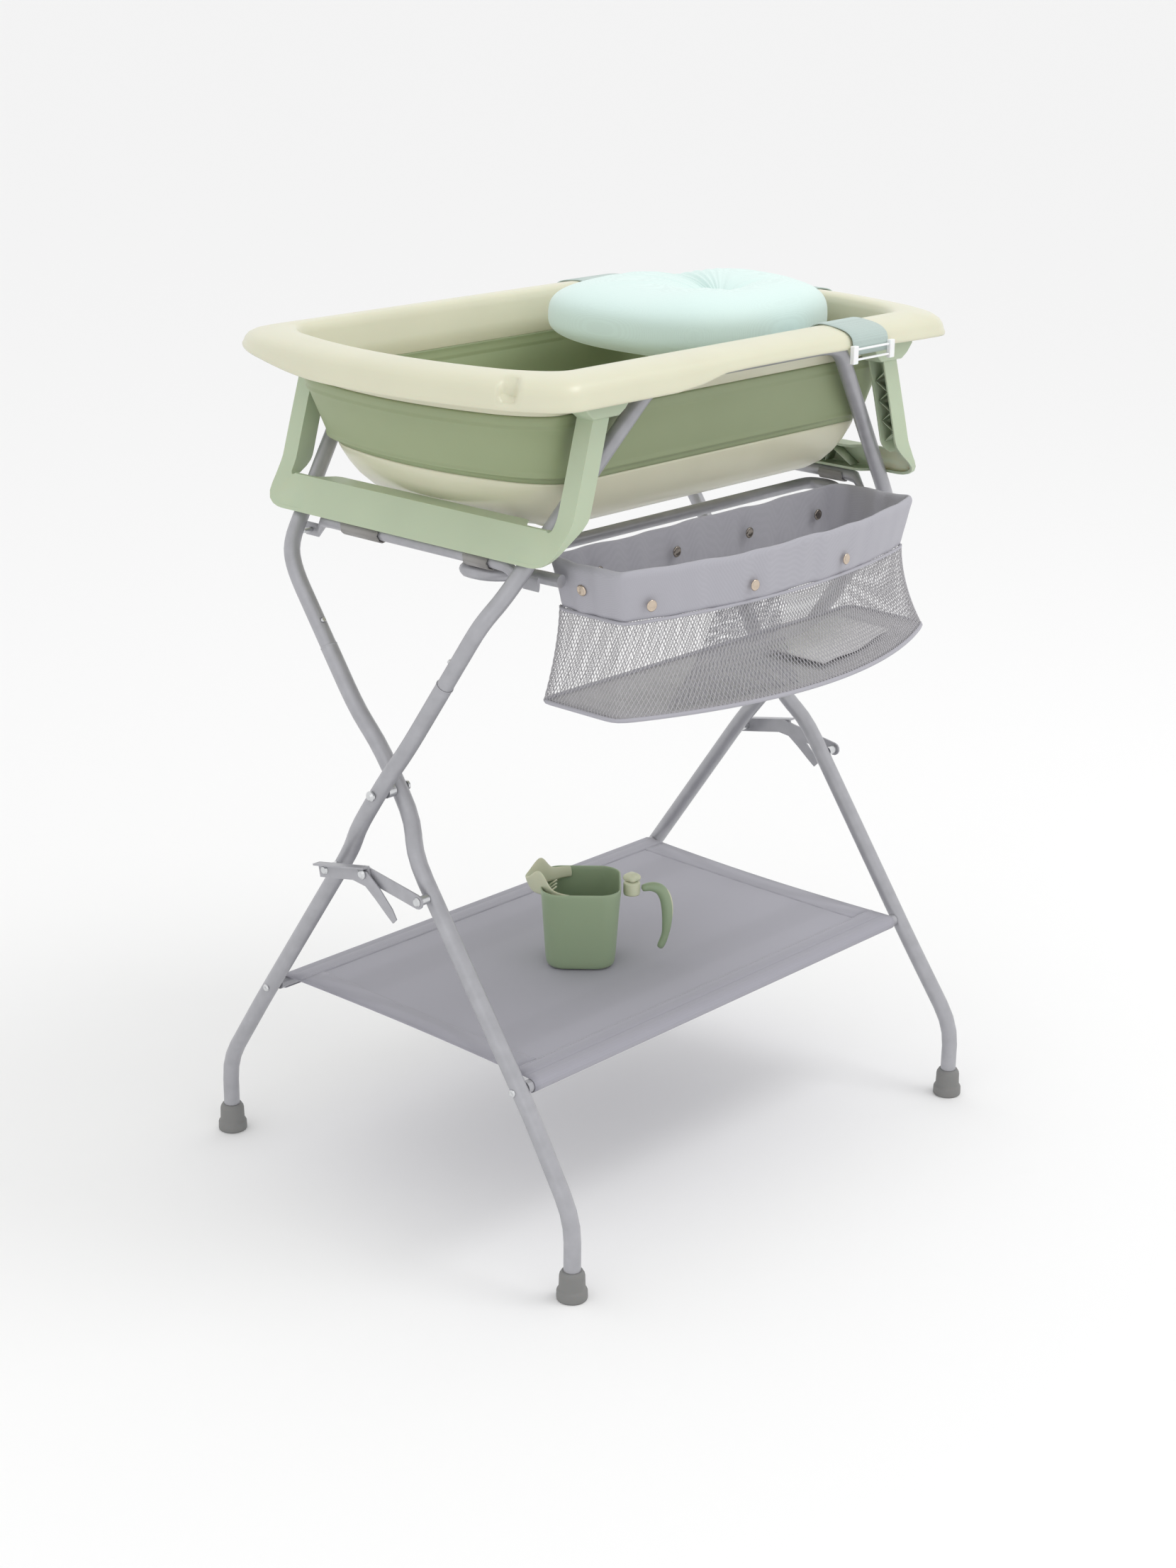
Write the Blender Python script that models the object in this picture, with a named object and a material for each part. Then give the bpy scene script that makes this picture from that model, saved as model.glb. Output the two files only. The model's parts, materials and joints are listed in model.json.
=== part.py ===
"""Folding baby bath and changing stand: X-leg tube stand, collapsible tub, padded rest,
fabric basket, mesh shelf and rinse jug.

Metres. +Z is up, X runs along the tub, the basket hangs on the -Y side.
Every place below is measured from the stand's middle, under the cross pivots. CENTRE then moves
the whole object so that the origin is the centre of its bounding box on the floor.
"""

import math

import bmesh
import bpy
from mathutils import Matrix, Vector

# Driving dimensions
CENTRE = Vector((-0.00475, 0.0146, 0.0))
GAP = 0.0003                # gap between touching pieces
TUBE_R = 0.010              # lower leg tube radius
UPPER_R = 0.0095            # upper hoop tube radius
SHELF_R = 0.0075            # shelf tube radius
PIVOT_Z = 0.529             # height of the cross pivots
FOOT_Y = 0.300
FOOT_H = 0.0355
SEAM_Z = 0.6775             # where the hoop tube plugs into the lower leg
LEG_SLOPE = 0.70            # sideways run of a leg for each metre of height
HOOP_Y = 0.222              # cross run of the hoop, inside the tub's rim
HOOP_Z = 1.003
SHELF_Y = 0.2107
SHELF_Z = 0.2254
PIN_Z = 0.701               # spring pins
BAR_X = 0.312               # end bars of the tray set
BAR_Z = 0.8125
RAIL_Z = 0.7945             # hanger rail, just under the end bars
TRAY_PIVOT = (0.176, 0.795)  # Y, Z of the tray hinge
RIM_HALF = (0.397, 0.2587)  # tub rim, half length and half width
RIM_TOP = 1.0268
TUB_HINGE = (0.250, 0.990)  # X, Z of a tub leg's hinge
SHELF_TOP = 0.2335
JUG = Vector((-0.045, -0.015, SHELF_TOP + GAP))
JUG_TURN = math.radians(-47.4)  # direction from spout to handle
LOCK_B = (0.0755, 0.4215)   # Y, Z of the lock's pivot on frame B
LOCK_A = (-0.0765, 0.4225)
LOCK_MID = (0.009, 0.435)
SIDES = 14                  # facets round a tube

# Colour, roughness, metallic
FINISHES = {
    "satin_tube": ((0.38, 0.38, 0.40), 0.35, 0.3),
    "zinc": ((0.62, 0.62, 0.60), 0.35, 1.0),
    "foot_rubber": ((0.20, 0.20, 0.20), 0.7, 0.0),
    "tub_cream": ((0.86, 0.86, 0.74), 0.35, 0.0),
    "tub_green": ((0.47, 0.58, 0.42), 0.5, 0.0),
    "silicone_green": ((0.35, 0.42, 0.27), 0.6, 0.0),
    "cushion_fabric": ((0.60, 0.82, 0.78), 0.9, 0.0),
    "strap_webbing": ((0.40, 0.50, 0.49), 0.9, 0.0),
    "clip_white": ((0.85, 0.85, 0.85), 0.4, 0.0),
    "basket_fabric": ((0.35, 0.34, 0.38), 0.9, 0.0),
    "shelf_fabric": ((0.33, 0.33, 0.37), 0.9, 0.0),
    "jug_green": ((0.30, 0.38, 0.27), 0.35, 0.0),
    "jug_pale": ((0.58, 0.66, 0.48), 0.4, 0.0),
    "velcro": ((0.30, 0.28, 0.26), 0.95, 0.0),
}
BODIES = {}


# ---------------------------------------------------------------- helpers
def body(name, pivot=(0, 0, 0), parent=None):
    """An empty on the joint's axis; the body's pieces are parented to it."""
    empty = bpy.data.objects.new("body_" + name, None)
    bpy.context.scene.collection.objects.link(empty)
    here = Vector(pivot) + CENTRE
    if parent:
        empty.parent = BODIES[parent][0]
        empty.location = here - BODIES[parent][1]
    else:
        empty.location = here
    BODIES[name] = (empty, here)


def finish_material(name):
    found = bpy.data.materials.get(name)
    if found:
        return found
    colour, roughness, metallic = FINISHES[name]
    made = bpy.data.materials.new(name)
    made.use_nodes = True
    shader = made.node_tree.nodes["Principled BSDF"]
    shader.inputs["Base Color"].default_value = (*colour, 1.0)
    shader.inputs["Roughness"].default_value = roughness
    shader.inputs["Metallic"].default_value = metallic
    made.diffuse_color = (*colour, 1.0)
    return made


def piece(name, points, faces, finish, owner):
    """A closed mesh object in its body, with its faces turned outwards."""
    empty, here = BODIES[owner]
    mesh = bpy.data.meshes.new(name)
    mesh.from_pydata([Vector(p) + CENTRE - here for p in points], [], faces)
    work = bmesh.new()
    work.from_mesh(mesh)
    bmesh.ops.recalc_face_normals(work, faces=work.faces)
    work.to_mesh(mesh)
    work.free()
    mesh.materials.append(finish_material(finish))
    made = bpy.data.objects.new(name, mesh)
    bpy.context.scene.collection.objects.link(made)
    made.parent = empty
    return made


def loft(name, rings, finish, owner, closed=False):
    """Skin through rings of equal count: capped at both ends, or joined last to first."""
    count = len(rings[0])
    points = [p for ring in rings for p in ring]
    faces = []
    last = len(rings) if closed else len(rings) - 1
    for i in range(last):
        a, b = i * count, (i + 1) % len(rings) * count
        for k in range(count):
            n = (k + 1) % count
            faces.append((a + k, a + n, b + n, b + k))
    if not closed:
        faces.append(tuple(range(count)))
        faces.append(tuple(range((len(rings) - 1) * count, len(rings) * count)))
    return piece(name, points, faces, finish, owner)


def rounded(points, reach, steps=4):
    """The polyline with each corner replaced by a smooth curve that starts `reach` away."""
    points = [Vector(p) for p in points]
    path = [points[0]]
    for before, corner, after in zip(points, points[1:], points[2:]):
        back, on = before - corner, after - corner
        start = corner + back.normalized() * min(reach, back.length * 0.45)
        end = corner + on.normalized() * min(reach, on.length * 0.45)
        for k in range(steps + 1):
            t = k / steps
            path.append(start * (1 - t) ** 2 + corner * 2 * t * (1 - t) + end * t * t)
    path.append(points[-1])
    return path


def sweep(name, path, section, finish, owner):
    """A section, a function of the path's index giving (side, up) pairs, carried along a path."""
    rings = []
    normal = None
    for i, p in enumerate(path):
        ahead = (path[min(i + 1, len(path) - 1)] - path[max(i - 1, 0)]).normalized()
        if normal is None:
            normal = ahead.orthogonal().normalized()
        normal = (normal - ahead * normal.dot(ahead)).normalized()
        across = ahead.cross(normal)
        rings.append([p + across * a + normal * b for a, b in section(i)])
    return loft(name, rings, finish, owner)


def circle(radius, sides=SIDES, squash=1.0):
    turn = 2 * math.pi / sides
    return [(radius * math.cos(k * turn), radius * squash * math.sin(k * turn)) for k in range(sides)]


def tube(name, path, radius, finish, owner, sides=SIDES):
    ring = circle(radius, sides)
    return sweep(name, path, lambda i: ring, finish, owner)


def lathe(name, profile, base, along, finish, owner, sides=16):
    """A turned solid. The profile is (radius, height) pairs from base along a direction."""
    along = Vector(along).normalized()
    side = along.orthogonal().normalized()
    other = along.cross(side)
    base = Vector(base)
    rings = []
    for radius, height in profile:
        rings.append([base + along * height + side * a + other * b for a, b in circle(radius, sides)])
    return loft(name, rings, finish, owner)


def plate(name, outline, low, high, place, finish, owner):
    """An outline of (u, v) pairs, extruded from low to high. place(u, v, w) gives the point."""
    rings = [[place(u, v, w) for u, v in outline] for w in (low, high)]
    return loft(name, rings, finish, owner)


def bore(target, base, along, radius, length, owner):
    """A round hole cut in the target."""
    cutter = lathe("cut_" + target.name + str(len(target.modifiers)), [(radius, 0), (radius, length)],
                   base, along, "zinc", owner)
    cutter.hide_render = True
    cutter.display_type = "WIRE"
    cut = target.modifiers.new("bore", "BOOLEAN")
    cut.operation = "DIFFERENCE"
    cut.solver = "EXACT"
    cut.object = cutter


def rounded_box(half_x, half_y, radius, z, steps=5, bulge=0.0, centre=(0.0, 0.0)):
    """A ring of points: a rounded rectangle whose ends pull in by bulge towards the corners."""
    ring = []
    for quarter in range(4):
        cx = (half_x - radius) * (1, -1, -1, 1)[quarter]
        cy = (half_y - radius) * (1, 1, -1, -1)[quarter]
        for k in range(steps + 1):
            angle = math.radians(90 * (quarter + k / steps))
            x = cx + radius * math.cos(angle)
            y = cy + radius * math.sin(angle)
            pull = bulge * (y / half_y) ** 2 * abs(x / half_x) ** 6
            ring.append((centre[0] + x - math.copysign(pull, x), centre[1] + y, z))
        if quarter in (0, 2):
            ring.append((centre[0], centre[1] + cy + math.copysign(radius, cy), z))
        else:
            ring.append((centre[0] + cx + math.copysign(radius, cx), centre[1], z))
    return ring


def leg_y(z):
    """Distance of a leg's centre line from the middle plane, before the bends at its ends."""
    return abs(LEG_SLOPE * (z - PIVOT_Z))


def raised(z):
    """(x, y) of the hoop's raised part, which leans in over the tub's end."""
    return 0.327 - 0.82 * (z - 0.80), 0.176 + 0.23 * (z - 0.80)


# ---------------------------------------------------------------- stand
def lower_leg(name, side, top, foot_x, plane, bow, bow_low, bow_high, upper_plane, owner):
    """A leg from its foot, past the cross, to the seam. top is +1 where the upper end goes to +Y."""
    path = [
        (side * foot_x, -top * FOOT_Y, FOOT_H + GAP),
        (side * foot_x, -top * FOOT_Y, 0.0975),
        (side * plane, -top * leg_y(0.20), 0.20),
        (side * plane, -top * leg_y(bow_low[0]), bow_low[0]),
        (side * bow, -top * leg_y(bow_low[1]), bow_low[1]),
        (side * bow, top * leg_y(bow_high[0]), bow_high[0]),
        (side * upper_plane, top * leg_y(bow_high[1]), bow_high[1]),
        (side * upper_plane, top * leg_y(SEAM_Z), SEAM_Z),
    ]
    leg = tube(name, rounded(path, 0.03, 3), TUBE_R, "satin_tube", owner)
    bore(leg, (side * 0.30, 0, PIVOT_Z), (side, 0, 0), 0.0034, 0.12, owner)
    return leg


def hoop(name, top, plane, owner):
    """One tube from the left seam, up and over under the tub's rim, and down to the right seam."""
    x_low, y_low = raised(0.785)
    x_high, y_high = raised(0.996)
    half = [
        (plane, top * leg_y(SEAM_Z + GAP), SEAM_Z + GAP),
        (plane, top * leg_y(0.757), 0.757),
        (x_low, top * y_low, 0.785),
        (x_high, top * y_high, 0.996),
        (0.140, top * HOOP_Y, HOOP_Z),
    ]
    path = half + [(-x, y, z) for x, y, z in reversed(half)]
    made = tube(name, rounded(path, 0.024, 4), UPPER_R, "satin_tube", owner)
    return made


def spring_button(name, made_hoop, side, top, plane, owner, own):
    """A pin in a blind bore on the hoop's inner side."""
    out = Vector((0, -top * math.sin(math.atan(1 / LEG_SLOPE)), math.cos(math.atan(1 / LEG_SLOPE))))
    middle = Vector((side * plane, top * leg_y(PIN_Z), PIN_Z))
    bore(made_hoop, middle + out * (UPPER_R - 0.0064), out, 0.0034, 0.012, owner)
    body(own, middle + out * UPPER_R, owner)
    profile = [(0.0030, 0), (0.0030, 0.0045), (0.0024, 0.0055)]
    lathe(name, profile, middle + out * (UPPER_R - 0.0032), out, "zinc", own, 12)


def foot(name, x, y, owner):
    profile = [(0.0165, 0), (0.018, 0.0015), (0.018, 0.012), (0.0155, 0.0145), (0.0148, 0.030),
               (0.0130, FOOT_H)]
    lathe(name, profile, (x, y, 0), (0, 0, 1), "foot_rubber", owner, 20)


def stand():
    for side, label in ((-1, "left"), (1, "right")):
        lower_leg("leg_a_lower_" + label, side, 1, 0.362, 0.3565, 0.336, (0.462, 0.498),
                  (0.572, 0.612), 0.345, "frame_a")
        lower_leg("leg_b_lower_" + label, side, -1, 0.355, 0.3565, 0.368, (0.444, 0.480),
                  (0.550, 0.590), 0.362, "frame_b")
        foot("foot_front_" + label, side * 0.362, -FOOT_Y, "frame_a")
        foot("foot_back_" + label, side * 0.355, FOOT_Y, "frame_b")
        bolt = [(0.0055, 0), (0.0055, 0.0030), (0.0030, 0.0030), (0.0030, 0.0238), (0.0080, 0.0238),
                (0.0080, 0.0347), (0.0030, 0.0347), (0.0030, 0.0562), (0.0062, 0.0562),
                (0.0062, 0.0585), (0.0035, 0.0610)]
        lathe("pivot_bolt_" + label, bolt, (side * 0.3225, 0, PIVOT_Z), (side, 0, 0), "zinc", "frame_a")
    hoop_a = hoop("hoop_a", 1, 0.345, "frame_a")
    hoop_b = hoop("hoop_b", -1, 0.362, "frame_b")
    for side, label in ((-1, "left"), (1, "right")):
        spring_button("spring_pin_a_" + label, hoop_a, side, 1, 0.345, "frame_a", "pin_a_" + label)
        spring_button("spring_pin_b_" + label, hoop_b, side, -1, 0.362, "frame_b", "pin_b_" + label)
    reach = 0.3565 - TUBE_R - GAP
    for name, sign, owner in (("shelf_tube_front", -1, "frame_a"), ("shelf_tube_back", 1, "frame_b")):
        ends = [Vector((x, sign * SHELF_Y, SHELF_Z)) for x in (-reach, reach)]
        tube(name, ends, SHELF_R, "satin_tube", owner)


# ---------------------------------------------------------------- locks
def along_link(start, end):
    run = Vector((0, end[0] - start[0], end[1] - start[1]))
    return run.normalized(), run.length


def locks():
    for side, label in ((-1, "left"), (1, "right")):
        ahead, length = along_link(LOCK_B, LOCK_MID)
        up = Vector((0, -ahead.z, ahead.y))
        if up.z < 0:
            up = -up
        start = Vector((0, *LOCK_B))
        section = [(0.3826, -0.009), (0.3850, -0.009), (0.3850, 0.0068), (0.3930, 0.0068),
                   (0.3930, 0.009), (0.3826, 0.009)]
        rings = []
        for run in (-0.010, length + 0.010):
            rings.append([start + ahead * run + up * w + Vector((side * x, 0, 0)) for x, w in section])
        owner = "link_one_" + label
        link = loft("lock_channel_" + label, rings, "satin_tube", owner)
        bore(link, (side * 0.375, *LOCK_B), (side, 0, 0), 0.0032, 0.02, owner)
        hook = [(0.028, 0.4235), (0.026, 0.4370), (0.002, 0.4395), (-0.020, 0.424), (-0.040, 0.405),
                (-0.047, 0.394), (-0.041, 0.388), (-0.030, 0.396), (-0.012, 0.410), (0.004, 0.421)]
        plate("lock_latch_" + label, hook, 0.3853, 0.3868, lambda y, z, x: (side * x, y, z),
              "satin_tube", owner)
        head = [(0.0062, 0), (0.0062, 0.0015), (0.0035, 0.0034)]
        lathe("lock_bolt_" + label, head, (side * 0.3871, *LOCK_MID), (side, 0, 0), "zinc", owner)
        lower, reach = along_link(LOCK_A, LOCK_MID)
        lift = Vector((0, -lower.z, lower.y))
        outline = []
        for end, first in ((reach, -90), (0, 90)):
            for k in range(7):
                angle = math.radians(first + 30 * k)
                outline.append((end + 0.0085 * math.cos(angle), 0.0085 * math.sin(angle)))
        origin = Vector((0, *LOCK_A))
        plain = plate("lock_link_" + label, outline, 0.3800, 0.3822,
                      lambda u, v, x: origin + lower * u + lift * v + Vector((side * x, 0, 0)),
                      "satin_tube", "link_two_" + label)
        bore(plain, (side * 0.375, *LOCK_A), (side, 0, 0), 0.0032, 0.02, "link_two_" + label)
        from_leg = 0.3565 + TUBE_R + GAP
        shank = 0.3824 - from_leg
        pin = [(0.0055, 0), (0.0055, shank - 0.0001), (0.0028, shank - 0.0001), (0.0028, shank + 0.0029),
               (0.0055, shank + 0.0029), (0.0040, shank + 0.0050)]
        lathe("lock_pin_b_" + label, pin, (side * from_leg, *LOCK_B), (side, 0, 0), "zinc", "frame_b")
        pin = [(r, t if t == 0 else t - 0.0026) for r, t in pin]
        lathe("lock_pin_a_" + label, pin, (side * from_leg, *LOCK_A), (side, 0, 0), "zinc", "frame_a")


# ---------------------------------------------------------------- tray set
def tray():
    for side, label in ((-1, "left"), (1, "right")):
        rings = []
        flat = [(0.302, 0.0022, 0.0080, 0.795), (0.302, 0.0022, 0.0080, 0.795),
                (0.310, 0.0072, 0.0077, 0.811), (BAR_X, 0.0075, 0.0075, BAR_Z)]
        stops = [0.187, 0.165, 0.146, 0.132]
        sections = list(zip(stops, flat)) + [(-y, f) for y, f in reversed(list(zip(stops, flat)))]
        for y, (x, half_x, half_z, z) in sections:
            rings.append([(side * x + half_x * a, y, z + half_z * b) for a, b in circle(1.0)])
        loft("end_bar_" + label, rings, "satin_tube", "tray")
        pin = [(0.0030, 0), (0.0030, 0.0110)]
        lathe("tray_pin_" + label, pin, (side * 0.3045, *TRAY_PIVOT), (side, 0, 0), "zinc", "tray", 12)
        for number, y, width in ((1, 0.075, 0.060), (2, -0.110, 0.036)):
            outline = []
            for radius, angles in ((0.0108, range(20, -201, -20)), (0.0079, range(-200, 21, 20))):
                for angle in angles:
                    turn = math.radians(angle)
                    outline.append((BAR_X + radius * math.cos(turn), BAR_Z + radius * math.sin(turn)))
            name = "strap_roll_" + label + "_" + str(number)
            plate(name, outline, y - width / 2, y + width / 2, lambda x, z, y: (side * x, y, z),
                  "velcro", "tray")
    half = [(0.2715, -0.192, RAIL_Z), (0.2745, -0.145, RAIL_Z), (0.310, -0.116, RAIL_Z),
            (0.310, -0.075, RAIL_Z)]
    path = half + [(-x, y, z) for x, y, z in reversed(half)]
    tube("hanger_rail", rounded(path, 0.02, 4), 0.0075, "satin_tube", "tray", 12)


# ---------------------------------------------------------------- basket
def basket_ring(half_x, back, corner, bulge, z, inset=0.0):
    """Plan outline of the basket: straight back and sides, front bowed outwards."""
    half_x, back = half_x - inset, back - inset
    ring = []
    for k in range(13):
        x = half_x * (k / 6 - 1)
        ring.append((x, corner + inset - bulge * (1 - (x / half_x) ** 2), z))
    for k in range(1, 4):
        ring.append((half_x, corner + (back - corner) * k / 4, z))
    for k in range(7):
        ring.append((half_x * (1 - k / 3), back, z))
    for k in range(3, 0, -1):
        ring.append((-half_x, corner + (back - corner) * k / 4, z))
    return ring


def basket():
    top, joint, base = 0.815, 0.7665, 0.655
    cuff = (0.262, -0.160, -0.270, 0.037)
    rings = [basket_ring(*cuff, joint), basket_ring(*cuff, top),
             basket_ring(*cuff, top, 0.005), basket_ring(*cuff, joint, 0.005)]
    loft("basket_cuff", rings, "basket_fabric", "tray", closed=True)
    upper = (0.262, -0.160, -0.272, 0.040)
    middle = (0.273, -0.160, -0.280, 0.067)
    lower = (0.268, -0.165, -0.277, 0.058)
    wall = 0.003
    rings = [basket_ring(*lower, base), basket_ring(*middle, base + 0.035), basket_ring(*upper, joint - GAP),
             basket_ring(*upper, joint - GAP, wall), basket_ring(*middle, base + 0.035, wall),
             basket_ring(*lower, base + wall, wall)]
    loft("basket_bag", rings, "basket_fabric", "tray")


# ---------------------------------------------------------------- tub
def tub_ring(half_x, half_y, z, radius=None):
    radius = radius or 0.071 * half_y / RIM_HALF[1]
    return rounded_box(half_x, half_y, radius, z, bulge=0.05 * half_y / RIM_HALF[1])


def tub():
    skin = [
        (0.3970, 0.2587, 1.0055), (0.3960, 0.2577, 1.0140), (0.3890, 0.2507, 1.0205),
        (0.3500, 0.2150, RIM_TOP), (0.3430, 0.2075, 1.0240), (0.3410, 0.1940, 0.9762),
        (0.3440, 0.1970, 0.9762), (0.3470, 0.2090, 1.0010), (0.3500, 0.2115, 1.0150),
        (0.3860, 0.2475, 1.0165), (0.3930, 0.2547, 1.0130), (0.3940, 0.2557, 1.0055),
    ]
    loft("tub_rim", [tub_ring(*s) for s in skin], "tub_cream", "tub", closed=True)
    wall = [(0.3440, 0.1970, 0.9759), (0.3400, 0.1950, 0.9600), (0.3180, 0.1850, 0.9050),
            (0.3000, 0.1800, 0.8955), (0.2970, 0.1770, 0.8955), (0.3150, 0.1820, 0.9070),
            (0.3370, 0.1920, 0.9610), (0.3410, 0.1940, 0.9759)]
    loft("tub_wall", [tub_ring(*s) for s in wall], "silicone_green", "tub", closed=True)
    bowl = [(0.205, 0.112, 0.835), (0.235, 0.140, 0.845), (0.262, 0.160, 0.866), (0.300, 0.180, 0.8952),
            (0.297, 0.177, 0.8952), (0.259, 0.157, 0.869), (0.232, 0.137, 0.849), (0.205, 0.112, 0.8385)]
    loft("tub_bowl", [tub_ring(*s) for s in bowl], "tub_cream", "bowl")
    for side, label in ((-1, "left"), (1, "right")):
        tub_leg("tub_leg_" + label, side, label)


def tub_leg(name, side, label):
    """Two posts and a bar as one moulding: rings of (outer x, inner x) at each edge's (y, z)."""
    half = [
        # inner edge y, outer edge y, inner edge z, outer edge z, outer x at each, depth
        (0.2115, 0.2255, 0.984, 0.984, 0.263, 0.263, 0.022),
        (0.2095, 0.2290, 0.930, 0.930, 0.279, 0.279, 0.024),
        (0.2075, 0.2325, 0.880, 0.872, 0.294, 0.296, 0.024),
        (0.2050, 0.2310, 0.862, 0.8207, 0.306, 0.3295, 0.003),
        (0.1600, 0.1600, 0.858, 0.8205, 0.310, 0.3295, 0.003),
        (0.1560, 0.1560, 0.858, 0.8205, 0.310, 0.3295, 0.028),
    ]
    other = [(-a, -b, *rest) for a, b, *rest in reversed(half)]
    rings = []
    for y_in, y_out, z_in, z_out, x_in, x_out, depth in half + other:
        rings.append([
            (side * x_in, y_in, z_in), (side * x_out, y_out, z_out),
            (side * (x_out - depth), y_out, z_out), (side * (x_in - depth), y_in, z_in),
        ])
    loft(name, rings, "tub_green", "tub_legs_" + label)


# ---------------------------------------------------------------- padded rest
def padded_rest():
    levels = [(0.120, 0.110, 0.984), (0.150, 0.140, 0.992), (0.159, 0.152, 1.012), (0.157, 0.150, 1.034),
              (0.145, 0.138, 1.049), (0.110, 0.105, 1.055)]
    rings = [rounded_box(x, y, min(x, y) * 0.62, z, centre=(0.162, 0.008)) for x, y, z in levels]
    loft("cushion", rings, "cushion_fabric", "rest")
    over = [(0.0, 1.0335), (0.040, 1.0310), (0.062, 1.0293), (0.104, 1.0240), (0.1125, 1.0165),
            (0.1128, 0.9985)]
    across = ((-0.147, -1, 0.172, 0.066, "front"), (0.163, 1, 0.230, 0.080, "back"))
    for start, sign, middle, width, label in across:
        scale = (RIM_HALF[1] + 0.0020 - abs(start)) / 0.1128
        path = [(start + sign * run * scale, z) for run, z in over]
        strap("strap_" + label, path, middle, width, lambda run, z, w: (w, run, z))
        end = path[-1][0] + sign * 0.0045
        clip("strap_clip_" + label, (middle, end, 0.994), (width + 0.012, 0.006, 0.014))
    scale = (RIM_HALF[0] + 0.0020 - 0.324) / 0.1128
    path = [(0.324 + run * scale, z) for run, z in over]
    strap("strap_head", path, 0.0, 0.070, lambda run, z, w: (run, w, z))
    clip("strap_clip_head", (path[-1][0] + 0.0045, 0.0, 0.994), (0.006, 0.082, 0.014))


def strap(name, path, middle, width, place):
    """A strip of webbing over the rim, thick enough to be a solid."""
    thick = 0.0010
    above, below = [], []
    for i, (run, z) in enumerate(path):
        a, b = path[max(i - 1, 0)], path[min(i + 1, len(path) - 1)]
        length = math.hypot(b[0] - a[0], b[1] - a[1])
        normal = (-(b[1] - a[1]) / length * thick, (b[0] - a[0]) / length * thick)
        above.append((run + normal[0], z + normal[1]))
        below.append((run - normal[0], z - normal[1]))
    outline = above + below[::-1]
    count = len(path)
    points = [place(run, z, middle + w * width / 2) for w in (-1, 1) for run, z in outline]
    total = len(outline)
    faces = [(k, (k + 1) % total, total + (k + 1) % total, total + k) for k in range(total)]
    for first in (0, total):
        for k in range(count - 1):
            faces.append((first + k, first + k + 1, first + total - 2 - k, first + total - 1 - k))
    piece(name, points, faces, "strap_webbing", "rest")


def clip(name, middle, size):
    half = Vector(size) / 2
    points = [Vector(middle) + Vector((half.x * a, half.y * b, half.z * c))
              for a in (-1, 1) for b in (-1, 1) for c in (-1, 1)]
    faces = [(0, 1, 3, 2), (4, 5, 7, 6), (0, 1, 5, 4), (2, 3, 7, 6), (0, 2, 6, 4), (1, 3, 7, 5)]
    piece(name, points, faces, "clip_white", "rest")


# ---------------------------------------------------------------- shelf and jug
def shelf():
    rings = [rounded_box(0.338, 0.2025, 0.010, z) for z in (SHELF_TOP - 0.004, SHELF_TOP)]
    loft("shelf_panel", rings, "shelf_fabric", "frame_a")


def jug_point(out, across, z):
    """A point in the jug's own directions: out towards the handle, across, and up."""
    turn = Matrix.Rotation(JUG_TURN, 3, "Z")
    return JUG + turn @ Vector((out, across, z))


def jug_ring(half_out, half_across, radius, z):
    return [jug_point(x, y, z) for x, y, _ in rounded_box(half_out, half_across, radius, z, 4)]


def jug():
    skin = [(0.041, 0.041, 0.020, 0.0), (0.0435, 0.0435, 0.022, 0.006), (0.050, 0.0525, 0.026, 0.104),
            (0.0475, 0.0500, 0.024, 0.104), (0.041, 0.041, 0.020, 0.008), (0.0385, 0.0385, 0.018, 0.003)]
    loft("jug_body", [jug_ring(*s) for s in skin], "jug_green", "jug")
    # The spout is a flat U-shaped trough that runs out from the rim.
    outline = [(-0.026, 0.060, 0.108), (-0.026, -0.060, 0.108), (-0.052, -0.050, 0.112),
               (-0.078, -0.020, 0.126), (-0.078, 0.020, 0.126), (-0.052, 0.050, 0.112)]
    low = [jug_point(o, a * 0.86, z - 0.0035 + 0.0003) for o, a, z in outline]
    high = [jug_point(o, a * 0.86, z) for o, a, z in outline]
    loft("jug_spout", [low, high], "jug_pale", "jug")
    hub = [(0.0105, 0), (0.0105, 0.016), (0.0095, 0.018)]
    lathe("jug_hub", hub, jug_point(0.0630, 0, 0.086), (0, 0, 1), "jug_pale", "jug")
    knob = [(0.0095, 0), (0.0100, 0.004), (0.0080, 0.009), (0.0040, 0.011)]
    lathe("jug_knob", knob, jug_point(0.0630, 0, 0.1043), (0, 0, 1), "jug_green", "jug_knob")
    line = [(0.0745, 0.095), (0.092, 0.097), (0.106, 0.084), (0.107, 0.040), (0.100, 0.014)]
    path = rounded([jug_point(out, 0, z) for out, z in line], 0.016, 3)
    section = circle(0.0062, 10, 1.0)
    sweep("jug_handle", path, lambda i: section, "jug_green", "jug_handle")


# ---------------------------------------------------------------- main
def bodies():
    body("frame_a")
    body("frame_b", (0, 0, PIVOT_Z), "frame_a")
    for side, label in ((-1, "left"), (1, "right")):
        body("link_one_" + label, (side * 0.384, *LOCK_B), "frame_b")
        body("link_two_" + label, (side * 0.381, *LOCK_A), "frame_a")
    body("tray", (0, *TRAY_PIVOT), "frame_a")
    body("tub", (0, 0, RIM_TOP), "frame_a")
    body("bowl", (0, 0, 0.8955), "tub")
    body("rest", (0.162, 0.008, 1.02), "tub")
    for side, label in ((-1, "left"), (1, "right")):
        body("tub_legs_" + label, (side * TUB_HINGE[0], 0, TUB_HINGE[1]), "tub")
    body("jug", JUG, "frame_a")
    body("jug_handle", jug_point(0.0630, 0, 0.095), "jug")
    body("jug_knob", jug_point(0.0630, 0, 0.1043), "jug")


def main():
    for old in list(bpy.data.objects):
        bpy.data.objects.remove(old)
    bodies()
    stand()
    locks()
    tray()
    basket()
    tub()
    padded_rest()
    shelf()
    jug()


main()
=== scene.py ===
"""Looks for the folding baby bath and changing stand. Metres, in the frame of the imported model."""
import json
import math

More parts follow.
